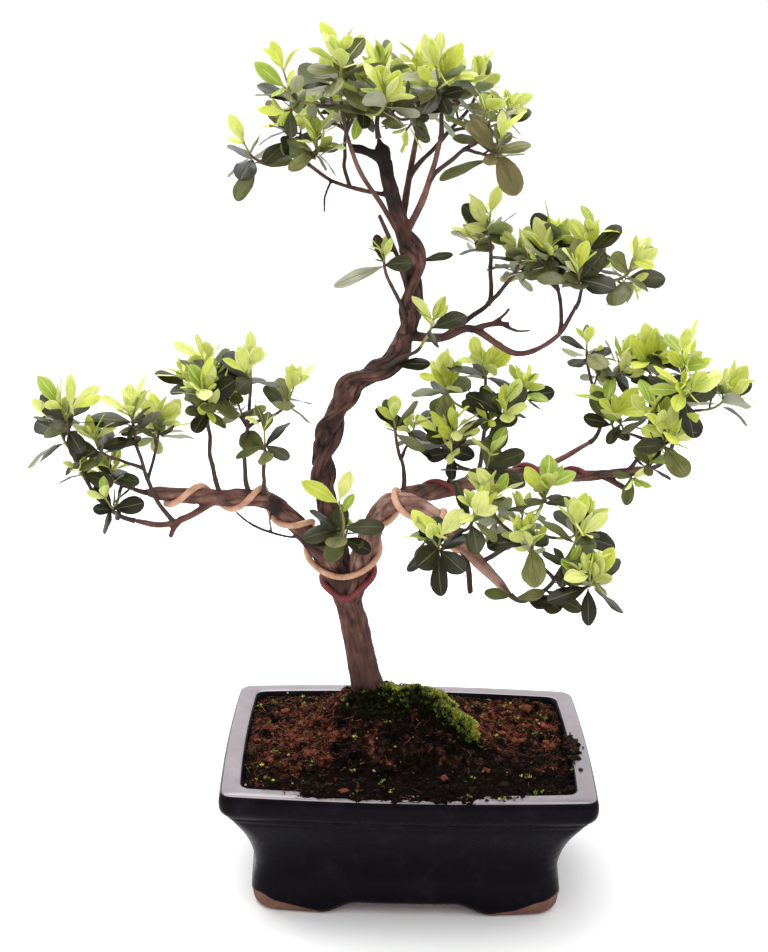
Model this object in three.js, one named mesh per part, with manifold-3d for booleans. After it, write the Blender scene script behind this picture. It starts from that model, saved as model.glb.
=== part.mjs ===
// Azalea bonsai in a glazed pot. The trunk leans to the left, forks into wired boughs and goes on as a
// leader twisted with a second stem. Short shoots end in rosettes of leaves.
// Millimetres, +Z up, the long front of the pot towards -Y.

import * as THREE from "three";
import { mergeVertices } from "three/addons/utils/BufferGeometryUtils.js";
import Module from "manifold-3d";

const wasm = await Module();
wasm.setup();

const GAP = 0.3; // clear space between pieces that meet
const UP = new THREE.Vector3(0, 0, 1);
const RIGHT = new THREE.Vector3(1, 0, 0);
const GOLDEN_ANGLE = 2.39996;

// Pot
const POT_LENGTH = 200; // over the rim
const POT_DEPTH = 146;
const SIDE_BOW = 4; // outward bow of the long sides
const END_BOW = 1.5; // outward bow of the short sides
const RIM_CORNER = 6;
const BODY_CORNER = 14;
// Height above the table and inset from the rim's outline, outside from foot to lip
const POT_OUTSIDE = [
  [0, 19],
  [2.5, 17],
  [11, 16],
  [21, 17.3],
  [31, 16.5],
  [42, 13],
  [52, 8.5],
  [60, 4.5],
  [66, 1],
  [73, 0],
  [77, 2],
];
// The same, inside from rim to floor
const POT_INSIDE = [
  [77, 10],
  [75, 12],
  [62, 14],
  [50, 18],
  [34, 24],
  [14, 26],
];
const ARCH_HEIGHT = 7; // gap under the pot between its feet
const FRONT_ARCH = 92;
const END_ARCH = 60;
const DRAIN_RADIUS = 8;
const DRAIN_PLACE = 38; // each side of the middle

// Soil and moss
const SOIL_EDGE = 74;
const MOUND = { x: -6, y: 14, height: 22, reach: 42 };
const GROUND = 97; // soil level at the trunk
const ROOT_PLATEAU = 17; // radius of level soil under the trunk
const MOSS = { x: 16, y: 6, length: 27, width: 13, height: 7, turn: -0.45 };

// Limbs: the places each runs through, and its radius at even steps from base to tip
const LIMBS = {
  trunk: {
    nodes: ["trunk"],
    path: [
      [-21, 22, 88],
      [-29, 22, 126],
      [-39, 20, 172],
      [-48, 19, 212],
      [-49, 20, 244],
      [-35, 20, 274],
      [-15, 17, 290],
      [-4, 12, 314],
      [-5, 8, 345],
      [-12, 6, 375],
      [-29, 4, 403],
    ],
    radii: [8.2, 7.8, 6.2, 5.2, 4.9, 4.6, 4.4, 4.1],
    sides: 9,
    steps: 32,
  },
  left: {
    nodes: ["bough_left", "bough_left_arm"],
    split: 0.52,
    parent: "trunk",
    path: [
      [-36, 21, 154],
      [-43, 19, 169],
      [-53, 15, 186],
      [-65, 10, 201],
      [-80, 4, 215],
      [-106, -3, 218],
      [-142, -9, 222],
    ],
    radii: [7.2, 6.6, 5.6, 5, 4.4, 3.8, 3],
    sides: 7,
    steps: 16,
  },
  left_low: {
    nodes: ["bough_left_low"],
    parent: "left",
    path: [
      [-106, -3, 217],
      [-120, -8, 209],
      [-134, -12, 205],
      [-148, -15, 208],
    ],
    radii: [2.2, 1.8, 1.5],
    sides: 5,
    steps: 7,
  },
  right: {
    nodes: ["bough_right", "bough_right_front"],
    split: 0.46,
    parent: "trunk",
    beside: "left",
    path: [
      [-34, 21, 154],
      [-29, 17, 170],
      [-25, 12, 188],
      [-20, 4, 206],
      [-12, -7, 218],
      [4, -25, 221],
      [36, -60, 201],
      [48, -70, 191],
    ],
    radii: [7, 6.4, 5.8, 5.2, 4.6, 3.8, 2.8],
    sides: 7,
    steps: 18,
  },
  right_back: {
    nodes: ["bough_right_back"],
    parent: "right",
    path: [
      [-20, 3, 208],
      [-6, 12, 216],
      [15, 28, 215],
      [62, 58, 217],
      [100, 72, 212],
      [138, 80, 215],
    ],
    radii: [4.8, 4.4, 3.9, 3.2, 2.4],
    sides: 7,
    steps: 15,
  },
  right_rise: {
    nodes: ["bough_right_rise"],
    parent: "right_back",
    path: [
      [70, 62, 217],
      [87, 71, 223],
      [103, 80, 230],
    ],
    radii: [2, 1.5],
    sides: 5,
    steps: 5,
  },
  upper: {
    nodes: ["bough_upper_right", "bough_upper_tip"],
    split: 0.56,
    parent: "trunk",
    path: [
      [-6, 13, 305],
      [12, 10, 305],
      [27, 7, 311],
      [52, 2, 299],
      [71, -3, 309],
      [80, -6, 325],
    ],
    radii: [3.2, 2.6, 1.9, 1.5, 1.3],
    sides: 6,
    steps: 12,
  },
  upper_rise: {
    nodes: ["bough_upper_rise"],
    parent: "upper",
    path: [
      [14, 10, 306],
      [28, 18, 315],
      [38, 26, 322],
      [38, 32, 339],
    ],
    radii: [1.8, 1.5, 1.2],
    sides: 5,
    steps: 8,
  },
  top_left: {
    nodes: ["bough_top_left"],
    parent: "trunk",
    path: [
      [-9, 7, 356],
      [-20, -4, 375],
      [-32, -15, 394],
      [-38, -20, 410],
    ],
    radii: [1.9, 1.5, 1.3],
    sides: 5,
    steps: 7,
  },
  top_side: {
    nodes: ["bough_top_side"],
    parent: "trunk",
    path: [
      [-14, 6, 379],
      [-32, 8, 382],
      [-47, 11, 386],
      [-58, 14, 393],
    ],
    radii: [1.5, 1.2, 1.1],
    sides: 5,
    steps: 7,
  },
  top_right: {
    nodes: ["bough_top_right"],
    parent: "trunk",
    path: [
      [-9, 7, 358],
      [0, 1, 378],
      [5, -5, 396],
      [8, -9, 410],
    ],
    radii: [2.2, 1.8, 1.5],
    sides: 5,
    steps: 7,
  },
  top_back: {
    nodes: ["bough_top_back"],
    parent: "trunk",
    path: [
      [-10, 7, 366],
      [-7, 22, 385],
      [-3, 42, 406],
    ],
    radii: [2, 1.7, 1.4],
    sides: 5,
    steps: 7,
  },
};

// Root flare of the trunk
const FLARE = { spread: 0.35, fade: 14, roots: 5, lobe: 0.14 };

// Second stem that winds about the leader and stands off it in one loop
const TWIN = { from: 0.27, to: 0.78, turns: 3, radius: [3.2, 2.4], loop: 0.71, standOff: 3.6 };

// Training wires: the limbs each one follows, from place to place, and its turn about them in degrees
const WIRES = {
  wire_tan: {
    radius: 1.7,
    runs: [
      { limb: "left", from: 0.86, to: 0.22, turn: [-765, 185] },
      { limb: "left", from: 0.2, to: 0.15, turn: [200, 240] },
      { limb: "trunk", from: 0.232, to: 0.232, turn: [260, 280] },
      { limb: "right", from: 0.15, to: 0.82, turn: [150, 1350] },
    ],
  },
  wire_red_fork: {
    radius: 1.5,
    runs: [
      { limb: "left", from: 0.125, to: 0.1, turn: [100, 215] },
      { limb: "trunk", from: 0.19, to: 0.19, turn: [255, 285] },
      { limb: "right", from: 0.1, to: 0.125, turn: [150, 260] },
    ],
  },
  wire_red_bough: {
    radius: 1.5,
    runs: [{ limb: "right_back", from: 0.16, to: 0.78, turn: [200, 1500] }],
  },
};
const WIRE_SIDES = 4;
const WIRE_STEP = 45; // degrees of turn

// Foliage masses: the limb and the place on it (0 base, 1 tip) where the stem starts, where the
// leading shoot ends, the number of shoots, the bearing of the first side shoot from the leading
// one (0 right, 90 back) and how far the side shoots stand from it
const MASSES = {
  top_left: { limb: "top_left", at: 1, tip: [-42, -22, 442], shoots: 4, bearing: 190, spread: 25 },
  top_side: { limb: "top_side", at: 1, tip: [-70, 16, 410], shoots: 3, bearing: 170, spread: 22 },
  top_crest: { limb: "trunk", at: 1, tip: [-21, 8, 438], shoots: 3, bearing: 240, spread: 22 },
  top_right: { limb: "top_right", at: 1, tip: [6, -12, 438], shoots: 3, bearing: 60, spread: 25 },
  top_right_low: { limb: "top_right", at: 0.6, tip: [28, -18, 419], shoots: 3, bearing: -60, spread: 18 },
  top_back: { limb: "top_back", at: 1, tip: [-3, 52, 436], shoots: 3, bearing: 100, spread: 25 },
  top_back_left: { limb: "top_side", at: 0.5, tip: [-38, 42, 432], shoots: 3, bearing: 150, spread: 22 },
  top_back_right: { limb: "top_back", at: 0.5, tip: [28, 34, 432], shoots: 3, bearing: 30, spread: 22 },
  upper_rise: { limb: "upper_rise", at: 1, tip: [37, 36, 358], shoots: 2, bearing: 110, spread: 18 },
  upper_mid: { limb: "upper_rise", at: 0.6, tip: [53, 24, 344], shoots: 1 },
  upper_tip: { limb: "upper", at: 1, tip: [85, -8, 357], shoots: 4, bearing: -20, spread: 22 },
  upper_side: { limb: "upper", at: 0.86, tip: [69, 14, 355], shoots: 3, bearing: 120, spread: 20 },
  right_rise: { limb: "right_rise", at: 1, tip: [99, 86, 283], shoots: 2, bearing: 10, spread: 20 },
  right_crest: { limb: "right_back", at: 0.93, tip: [133, 56, 252], shoots: 3, bearing: 150, spread: 22 },
  right_outer: { limb: "right_back", at: 1, tip: [152, 68, 275], shoots: 4, bearing: -10, spread: 25 },
  right_low: { limb: "right_back", at: 0.82, tip: [134, 52, 226], shoots: 1 },
  front_inner: { limb: "right", at: 0.69, tip: [28, -64, 228], shoots: 2, bearing: 220, spread: 20 },
  front_mid: { limb: "right", at: 0.86, tip: [64, -56, 238], shoots: 3, bearing: 10, spread: 24 },
  front_tip: { limb: "right", at: 1, tip: [78, -80, 224], shoots: 3, bearing: 165, spread: 20 },
  centre_left: { limb: "right_back", at: 0.1, tip: [-11, 8, 256], shoots: 2, bearing: 60, spread: 18 },
  centre_mid: { limb: "right_back", at: 0.27, tip: [20, 14, 250], shoots: 3, bearing: 330, spread: 22 },
  centre_right: { limb: "right_back", at: 0.38, tip: [38, 34, 279], shoots: 4, bearing: 20, spread: 22 },
  left_tip: { limb: "left_low", at: 1, tip: [-182, -20, 264], shoots: 2, bearing: 120, spread: 16 },
  left_outer: { limb: "left_low", at: 0.55, tip: [-148, -16, 263], shoots: 3, bearing: 60, spread: 20 },
  left_low: { limb: "left", at: 1, tip: [-160, -11, 232], shoots: 2, bearing: 260, spread: 18 },
  left_mid: { limb: "left", at: 0.72, tip: [-110, 4, 287], shoots: 3, bearing: 130, spread: 20 },
  left_inner: { limb: "left", at: 0.61, tip: [-87, -8, 285], shoots: 3, bearing: 10, spread: 20 },
  left_root: { limb: "left", at: 0.54, tip: [-79, -18, 252], shoots: 1 },
  fork: { limb: "trunk", beside: "right", at: 0.25, tip: [-38, -14, 203], shoots: 1 },
  trunk_right: { limb: "trunk", at: 0.6, tip: [6, -6, 313], shoots: 1 },
  trunk_left: { limb: "trunk", at: 0.7, tip: [-19, -5, 347], shoots: 1 },
};
const STEM_RADIUS = 1.3;
const SHOOT_RADIUS = 1;
const NODE_RADIUS = 2.8; // swollen end that carries the leaves
const SHOOT_SIDES = 3;
const STEM_STEPS = 4;
const SHOOT_STEPS = 3;

// Leaves of one rosette: spreading old ones below, upright young ones above
const OLD_LEAF = { count: 5, length: [21, 29], rise: [-14, 24], aspect: 0.52 };
const YOUNG_LEAF = { count: 4, length: [19, 27], rise: [44, 78], aspect: 0.44 };
const LEAF_THICKNESS = 0.9;
const LEAF_WIDEST = 0.58; // share of the length
const LEAF_PITCH = 1.2; // step between leaves along the shoot
const LEAF_SUNK = 0.3; // root past the shoot's middle line

const rad = THREE.MathUtils.degToRad;
const mix = THREE.MathUtils.lerp;
const point = ([x, y, z]) => new THREE.Vector3(x, y, z);

// Two directions square to an axis: the one nearest to a reference, and the one a quarter turn on
function squareTo(axis, reference) {
  const first = reference.clone().addScaledVector(axis, -axis.dot(reference)).normalize();
  return [first, axis.clone().cross(first)];
}

function around([first, second], angle) {
  return first.clone().multiplyScalar(Math.cos(angle)).addScaledVector(second, Math.sin(angle));
}

// Repeatable numbers from 0 to 1
function randomFrom(seed) {
  let state = Math.imul(seed, 2654435761) >>> 0;
  return () => {
    state = (Math.imul(state, 1664525) + 1013904223) >>> 0;
    return state / 4294967296;
  };
}

function solidOf(geometry) {
  const bare = new THREE.BufferGeometry();
  bare.setAttribute("position", geometry.getAttribute("position"));
  bare.setIndex(geometry.getIndex());
  const welded = mergeVertices(bare, 1e-4);
  return new wasm.Manifold(
    new wasm.Mesh({
      numProp: 3,
      vertProperties: new Float32Array(welded.getAttribute("position").array),
      triVerts: new Uint32Array(welded.getIndex().array),
    }),
  );
}

// The main body alone: no loose scraps, no sealed hollows
function mainBody(solid) {
  const bodies = solid.decompose();
  return bodies.reduce((best, body) => (body.volume() > best.volume() ? body : best));
}

// A closed skin over a stack of rings with as many points each, capped at both ends
function skin(rings) {
  const count = rings[0].length;
  const positions = rings.flat().flatMap((p) => [p.x, p.y, p.z]);
  const faces = [];
  for (let k = 0; k + 1 < rings.length; k++) {
    for (let j = 0; j < count; j++) {
      const a = k * count + j;
      const b = k * count + ((j + 1) % count);
      faces.push(a, b, b + count, a, b + count, a + count);
    }
  }
  const caps = [rings[0], rings[rings.length - 1]];
  caps.forEach((ring, end) => {
    const middle = ring.reduce((sum, p) => sum.add(p), new THREE.Vector3()).divideScalar(count);
    const hub = positions.length / 3;
    positions.push(middle.x, middle.y, middle.z);
    const start = end * (rings.length - 1) * count;
    for (let j = 0; j < count; j++) {
      const a = start + j;
      const b = start + ((j + 1) % count);
      faces.push(hub, end ? a : b, end ? b : a);
    }
  });
  const geometry = new THREE.BufferGeometry();
  geometry.setAttribute("position", new THREE.Float32BufferAttribute(positions, 3));
  geometry.setIndex(faces);
  return geometry;
}

// A limb swept along a curve; radiusAt takes the place along it and the angle around it
function sweep(curve, radiusAt, sides, steps) {
  const frames = curve.computeFrenetFrames(steps, false);
  const rings = [];
  for (let i = 0; i <= steps; i++) {
    const u = i / steps;
    const centre = curve.getPointAt(u);
    const ring = [];
    for (let j = 0; j < sides; j++) {
      const angle = (j / sides) * 2 * Math.PI;
      const radius = radiusAt(u, angle);
      ring.push(
        centre
          .clone()
          .addScaledVector(frames.normals[i], radius * Math.cos(angle))
          .addScaledVector(frames.binormals[i], radius * Math.sin(angle)),
      );
    }
    rings.push(ring);
  }
  return skin(rings);
}

// Value at place u of a list spaced evenly from 0 to 1
function along(values, u) {
  const place = THREE.MathUtils.clamp(u, 0, 1) * (values.length - 1);
  const k = Math.min(Math.floor(place), values.length - 2);
  return mix(values[k], values[k + 1], place - k);
}

function limbCurve(name) {
  return new THREE.CatmullRomCurve3(LIMBS[name].path.map(point), false, "centripetal");
}

const curves = Object.fromEntries(Object.keys(LIMBS).map((name) => [name, limbCurve(name)]));

function limbSolid(name, extra) {
  const { radii, sides, steps } = LIMBS[name];
  const curve = curves[name];
  const length = curve.getLength();
  const radiusAt = (u, angle) => {
    let radius = along(radii, u);
    if (name === "trunk") {
      const fade = Math.exp((-u * length) / FLARE.fade);
      radius *= 1 + fade * (FLARE.spread + FLARE.lobe * Math.cos(FLARE.roots * angle));
    }
    return radius + extra;
  };
  const limb = solidOf(sweep(curve, radiusAt, sides, steps));
  return name === "trunk" ? limb.add(twinSolid(extra)).trimByPlane([0, 0, 1], GROUND) : limb;
}

// A place beside a limb, at an angle about it and a distance from its middle line
function beside(name, u, angle, away) {
  const tangent = curves[name].getTangentAt(u);
  const sides = squareTo(tangent, name === "trunk" ? RIGHT : UP);
  return curves[name].getPointAt(u).addScaledVector(around(sides, angle), away);
}

// What is left of a solid clear of the named limbs
function cutClear(solid, names) {
  return names.filter(Boolean).reduce((rest, name) => mainBody(rest.subtract(limbSolid(name, GAP))), solid);
}

// The second stem, wound about the leader
function twinCurve() {
  const steps = 40;
  const points = [];
  for (let i = 0; i <= steps; i++) {
    const u = mix(TWIN.from, TWIN.to, i / steps);
    const ends = Math.min(1, (4 * i) / steps, (4 * (steps - i)) / steps);
    const loop = TWIN.standOff * Math.exp(-(((u - TWIN.loop) / 0.04) ** 2));
    const away = ends * along(LIMBS.trunk.radii, u) + loop;
    const angle = (2 * Math.PI * TWIN.turns * (u - TWIN.loop)) / (TWIN.to - TWIN.from);
    points.push(beside("trunk", u, angle, away));
  }
  return new THREE.CatmullRomCurve3(points);
}

function twinSolid(extra) {
  const radiusAt = (u) => along(TWIN.radius, u) + extra;
  return solidOf(sweep(twinCurve(), radiusAt, 5, 28));
}

// A training wire that follows its limbs in turn
function wireSolid(wire) {
  const points = wire.runs.flatMap(({ limb, from, to, turn }) => {
    const steps = Math.max(2, Math.ceil(Math.abs(turn[1] - turn[0]) / WIRE_STEP));
    return Array.from({ length: steps + 1 }, (_, i) => {
      const u = mix(from, to, i / steps);
      const away = along(LIMBS[limb].radii, u) + wire.radius + 2 * GAP;
      return beside(limb, u, rad(mix(turn[0], turn[1], i / steps)), away);
    });
  });
  const curve = new THREE.CatmullRomCurve3(points, false, "centripetal");
  return solidOf(sweep(curve, () => wire.radius, WIRE_SIDES, points.length));
}

// Outline of the pot at an inset from its rim
function potOutline(inset, corner) {
  const x = POT_LENGTH / 2 - inset;
  const y = POT_DEPTH / 2 - inset;
  const shape = new THREE.Shape();
  shape.moveTo(x, corner - y);
  shape.quadraticCurveTo(x + 2 * END_BOW, 0, x, y - corner);
  shape.absarc(x - corner, y - corner, corner, 0, Math.PI / 2);
  shape.quadraticCurveTo(0, y + 2 * SIDE_BOW, corner - x, y);
  shape.absarc(corner - x, y - corner, corner, Math.PI / 2, Math.PI);
  shape.quadraticCurveTo(-x - 2 * END_BOW, 0, -x, corner - y);
  shape.absarc(corner - x, corner - y, corner, Math.PI, 1.5 * Math.PI);
  shape.quadraticCurveTo(0, -y - 2 * SIDE_BOW, x - corner, -y);
  shape.absarc(x - corner, corner - y, corner, 1.5 * Math.PI, 2 * Math.PI);
  const points = shape.getPoints(2);
  return points.slice(0, points.length - 1);
}

function potRing(z, inset) {
  const corner = mix(BODY_CORNER, RIM_CORNER, THREE.MathUtils.smoothstep(z, 40, 70));
  return potOutline(inset, corner).map((p) => new THREE.Vector3(p.x, p.y, z));
}

// Gap between two feet, as a bar through the pot along Y
function footArch(span, length) {
  const flat = span * 0.28;
  const shape = new THREE.Shape();
  shape.moveTo(-span / 2, -1);
  shape.lineTo(-span / 2, 0);
  shape.bezierCurveTo(-span * 0.4, 0, -span * 0.4, ARCH_HEIGHT, -flat, ARCH_HEIGHT);
  shape.lineTo(flat, ARCH_HEIGHT);
  shape.bezierCurveTo(span * 0.4, ARCH_HEIGHT, span * 0.4, 0, span / 2, 0);
  shape.lineTo(span / 2, -1);
  shape.closePath();
  const bar = new THREE.ExtrudeGeometry(shape, { depth: length, bevelEnabled: false, curveSegments: 4 });
  bar.translate(0, 0, -length / 2);
  bar.rotateX(Math.PI / 2);
  return bar;
}

function potSolid() {
  const rings = POT_OUTSIDE.concat(POT_INSIDE).map(([z, inset]) => potRing(z, inset));
  let pot = solidOf(skin(rings));
  const between = footArch(FRONT_ARCH, POT_DEPTH);
  const across = footArch(END_ARCH, POT_LENGTH).rotateZ(Math.PI / 2);
  pot = pot.subtract(solidOf(between)).subtract(solidOf(across));
  for (const x of [-DRAIN_PLACE, DRAIN_PLACE]) {
    const bore = new THREE.CylinderGeometry(DRAIN_RADIUS, DRAIN_RADIUS, 40, 16);
    bore.rotateX(Math.PI / 2);
    bore.translate(x, 0, 0);
    pot = pot.subtract(solidOf(bore));
  }
  return pot;
}

function soilLevel(x, y) {
  const away = Math.hypot(x - MOUND.x, y - MOUND.y) / MOUND.reach;
  const lumps = Math.sin(x * 0.19 + 1) * Math.cos(y * 0.23) + 0.7 * Math.sin(x * 0.4 - y * 0.33);
  return SOIL_EDGE + MOUND.height * Math.exp(-(away ** 3)) + 0.9 * lumps;
}

// Soil from the pot's floor up to a mound, level where the trunk stands on it
function soilSolid() {
  const inside = POT_INSIDE.filter(([z]) => z < SOIL_EDGE).reverse();
  const rings = inside.map(([z, inset], k) => potRing(z + (k ? 0 : GAP), inset + 1.5 * GAP));
  const edge = potRing(SOIL_EDGE - 2, 13.4);
  rings.push(edge);
  const foot = curves.trunk.getPointAt(0.02);
  const plateau = edge.map((p) => {
    const out = new THREE.Vector3(p.x - foot.x, p.y - foot.y, 0).setLength(ROOT_PLATEAU);
    return out.add(foot).setZ(GROUND - GAP);
  });
  for (const s of [0.06, 0.25, 0.47, 0.7, 0.88]) {
    rings.push(
      edge.map((p, j) => {
        const q = p.clone().lerp(plateau[j], s);
        return q.setZ(Math.min(soilLevel(q.x, q.y), GROUND - GAP));
      }),
    );
  }
  rings.push(plateau);
  return solidOf(skin(rings));
}

function mossSolid(soil, trunk) {
  const cushion = new THREE.SphereGeometry(1, 10, 6);
  cushion.scale(MOSS.length, MOSS.width, MOSS.height);
  cushion.rotateZ(MOSS.turn);
  cushion.translate(MOSS.x, MOSS.y, soilLevel(MOSS.x, MOSS.y) + 1);
  const raised = soil.translate([0, 0, GAP]);
  return mainBody(solidOf(cushion).subtract(raised).subtract(trunk));
}

// One leaf as a thin folded lozenge, grown all round by extra
function leafSolid(leaf, extra) {
  const half = leaf.width / 2 + extra;
  const thick = LEAF_THICKNESS / 2 + extra;
  const wide = leaf.length * LEAF_WIDEST;
  const blade = new THREE.BufferGeometry();
  const root = [-LEAF_SUNK, 0, -thick];
  const tip = [leaf.length + extra, 0, -thick];
  const sides = [wide, half, thick, wide, -half, thick];
  const corners = [...root, ...tip, ...sides];
  blade.setAttribute("position", new THREE.Float32BufferAttribute(corners, 3));
  blade.setIndex([0, 1, 3, 0, 2, 1, 0, 3, 2, 1, 2, 3]);
  const basis = new THREE.Matrix4().makeBasis(leaf.direction, leaf.side, leaf.face);
  blade.applyMatrix4(basis.setPosition(leaf.root));
  return solidOf(blade);
}

// The leaves of a rosette at the end of a shoot
function rosette(end, axis, seed) {
  const random = randomFrom(seed);
  const start = random() * 2 * Math.PI;
  const sides = squareTo(axis, RIGHT);
  const leaves = [];
  const total = OLD_LEAF.count + YOUNG_LEAF.count;
  for (let k = 0; k < total; k++) {
    const kind = k < OLD_LEAF.count ? OLD_LEAF : YOUNG_LEAF;
    const turn = start + k * GOLDEN_ANGLE + (random() - 0.5) * 0.6;
    const rise = rad(mix(kind.rise[0], kind.rise[1], random()));
    const length = mix(kind.length[0], kind.length[1], random());
    const roll = (random() - 0.5) * 0.7;
    const out = around(sides, turn);
    const direction = out.multiplyScalar(Math.cos(rise)).addScaledVector(axis, Math.sin(rise));
    const side = axis.clone().cross(direction).normalize().applyAxisAngle(direction, roll);
    const face = direction.clone().cross(side);
    const root = end.clone().addScaledVector(axis, LEAF_PITCH * (k - total));
    leaves.push({ root, direction, side, face, length, width: length * kind.aspect });
  }
  return leaves;
}

// The shoots of a mass: a stem from its limb to the leading tip, and side shoots from the stem
function shootsOf(mass, seed) {
  const random = randomFrom(seed);
  const limb = curves[mass.limb];
  const tangent = limb.getTangentAt(mass.at);
  const start = limb.getPointAt(mass.at).addScaledVector(tangent, mass.at === 1 ? GAP : 0);
  const tip = point(mass.tip);
  const reach = tip.distanceTo(start);
  const heading = tip.clone().sub(start).normalize();
  const axis = heading.clone().lerp(UP, 0.6).normalize();
  const leave = mass.at === 1 ? tangent : heading.clone().addScaledVector(tangent, 0.4).normalize();
  const stem = new THREE.CubicBezierCurve3(
    start,
    start.clone().addScaledVector(leave, reach * 0.35),
    tip.clone().addScaledVector(axis, -reach * 0.35),
    tip,
  );
  const shoots = [{ curve: stem, end: tip, axis, radius: STEM_RADIUS, steps: STEM_STEPS }];
  const sides = squareTo(axis, RIGHT);
  for (let k = 1; k < mass.shoots; k++) {
    const out = around(sides, rad(mass.bearing) + (k - 1) * GOLDEN_ANGLE);
    const drop = mass.spread * mix(0.2, 0.7, random());
    const end = tip.clone().addScaledVector(out, mass.spread).addScaledVector(axis, -drop);
    const from = stem.getPointAt(mix(0.45, 0.65, random()));
    const lean = axis.clone().addScaledVector(out, 0.5).normalize();
    const step = end.distanceTo(from) * 0.4;
    const curve = new THREE.CubicBezierCurve3(
      from,
      from.clone().addScaledVector(end.clone().sub(from).normalize(), step),
      end.clone().addScaledVector(lean, -step),
      end,
    );
    shoots.push({ curve, end, axis: lean, radius: SHOOT_RADIUS, steps: SHOOT_STEPS });
  }
  return shoots;
}

function twigSolid(shoot) {
  const swell = (u) => mix(shoot.radius, NODE_RADIUS, THREE.MathUtils.smoothstep(u, 0.55, 0.9));
  return solidOf(sweep(shoot.curve, swell, SHOOT_SIDES, shoot.steps));
}

const boxesMeet = (a, b) => [0, 1, 2].every((k) => a.min[k] < b.max[k] && b.min[k] < a.max[k]);

function isClear(solid, others) {
  const box = solid.boundingBox();
  return others.every((other) => !boxesMeet(box, other.box) || solid.intersect(other.solid).isEmpty());
}

const boxed = (solid) => ({ solid, box: solid.boundingBox() });

// Pot, soil, trunk and boughs
const solids = {};
solids.pot = potSolid();
solids.soil = soilSolid();
for (const [name, limb] of Object.entries(LIMBS)) {
  const whole = cutClear(limbSolid(name, 0), [limb.parent, limb.beside]);
  if (limb.split) {
    const normal = curves[name].getTangentAt(limb.split);
    const place = normal.dot(curves[name].getPointAt(limb.split));
    solids[limb.nodes[0]] = whole.trimByPlane(normal.clone().negate().toArray(), GAP / 2 - place);
    solids[limb.nodes[1]] = whole.trimByPlane(normal.toArray(), place + GAP / 2);
  } else {
    solids[limb.nodes[0]] = whole;
  }
}
for (const [name, wire] of Object.entries(WIRES)) solids[name] = wireSolid(wire);
solids.moss = mossSolid(solids.soil, limbSolid("trunk", GAP));

// Foliage: every stem first, then the leaves that have room
const fixed = Object.values(solids).map(boxed);
const growing = Object.entries(MASSES).map(([name, mass], k) => {
  const shoots = shootsOf(mass, k + 1);
  const twigs = wasm.Manifold.union(shoots.map(twigSolid));
  const stem = cutClear(twigs, [mass.limb, mass.beside]);
  return { name: `foliage_${name}`, shoots, seed: 100 * (k + 1), whole: boxed(stem) };
});
for (const mass of growing) {
  const others = growing.filter((other) => other !== mass).map((other) => other.whole);
  const obstacles = fixed.concat(others);
  const blades = [mass.whole.solid];
  mass.shoots.forEach((shoot, k) => {
    const leaves = rosette(shoot.end, shoot.axis, mass.seed + k);
    const clear = leaves.filter((leaf) => isClear(leafSolid(leaf, GAP), obstacles));
    const grown = clear.map((leaf) => leafSolid(leaf, 0));
    blades.push(...grown);
    obstacles.push(...grown.map(boxed));
  });
  mass.whole = boxed(mainBody(wasm.Manifold.union(blades)));
  solids[mass.name] = mass.whole.solid;
}

// Finishes
const FINISHES = {
  pot: { name: "glaze", color: 0x15161f, roughness: 0.2 },
  soil: { name: "soil", color: 0x3a2418, roughness: 1 },
  moss: { name: "moss", color: 0x6f8f24, roughness: 1 },
  wire_tan: { name: "wire_tan", color: 0xc99a76, roughness: 0.5 },
  wire_red: { name: "wire_red", color: 0x8a3a34, roughness: 0.5 },
  bark: { name: "bark", color: 0x5d4438, roughness: 0.9 },
  foliage: { name: "leaf", color: 0x6f9a35, roughness: 0.55 },
};

function finishOf(name) {
  const key = Object.keys(FINISHES).find((start) => name.startsWith(start));
  return FINISHES[key ?? "bark"];
}

function meshOf(name, solid) {
  const { vertProperties, triVerts } = solid.getMesh();
  const geometry = new THREE.BufferGeometry();
  geometry.setAttribute("position", new THREE.BufferAttribute(new Float32Array(vertProperties), 3));
  geometry.setIndex(new THREE.BufferAttribute(new Uint32Array(triVerts), 1));
  geometry.computeVertexNormals();
  const mesh = new THREE.Mesh(geometry, new THREE.MeshStandardMaterial(finishOf(name)));
  mesh.name = name;
  return mesh;
}

const group = new THREE.Group();
for (const [name, solid] of Object.entries(solids)) group.add(meshOf(name, solid));

// The origin lies on the table under the middle of the whole plant
const middle = new THREE.Box3().setFromObject(group).getCenter(new THREE.Vector3());
group.position.set(-middle.x, -middle.y, 0);

export default group;
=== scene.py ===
"""Looks of an azalea bonsai in a glazed pot: bark, shoots, leaves, wires, soil, moss and glaze.

Sizes are in millimetres about the middle of the pot, front towards -Y, until a piece is made.
"""

import math

import bpy
import numpy as np
from mathutils import Matrix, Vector
from mathutils.kdtree import KDTree


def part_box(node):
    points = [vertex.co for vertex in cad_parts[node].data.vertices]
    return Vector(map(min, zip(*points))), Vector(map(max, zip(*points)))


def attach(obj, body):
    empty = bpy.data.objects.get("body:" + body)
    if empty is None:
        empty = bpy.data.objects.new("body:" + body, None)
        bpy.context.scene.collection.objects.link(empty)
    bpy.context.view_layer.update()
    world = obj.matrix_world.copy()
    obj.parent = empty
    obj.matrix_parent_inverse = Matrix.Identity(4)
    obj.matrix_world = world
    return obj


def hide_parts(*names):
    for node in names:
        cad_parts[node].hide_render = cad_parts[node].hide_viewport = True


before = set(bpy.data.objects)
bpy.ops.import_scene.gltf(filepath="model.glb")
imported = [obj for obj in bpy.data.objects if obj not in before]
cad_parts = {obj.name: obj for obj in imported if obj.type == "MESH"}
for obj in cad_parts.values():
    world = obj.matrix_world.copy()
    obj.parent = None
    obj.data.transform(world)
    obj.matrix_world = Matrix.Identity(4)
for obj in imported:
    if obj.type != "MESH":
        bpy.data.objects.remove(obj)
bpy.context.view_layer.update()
POT_LOW, POT_HIGH = (np.array(c, float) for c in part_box("pot"))
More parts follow.
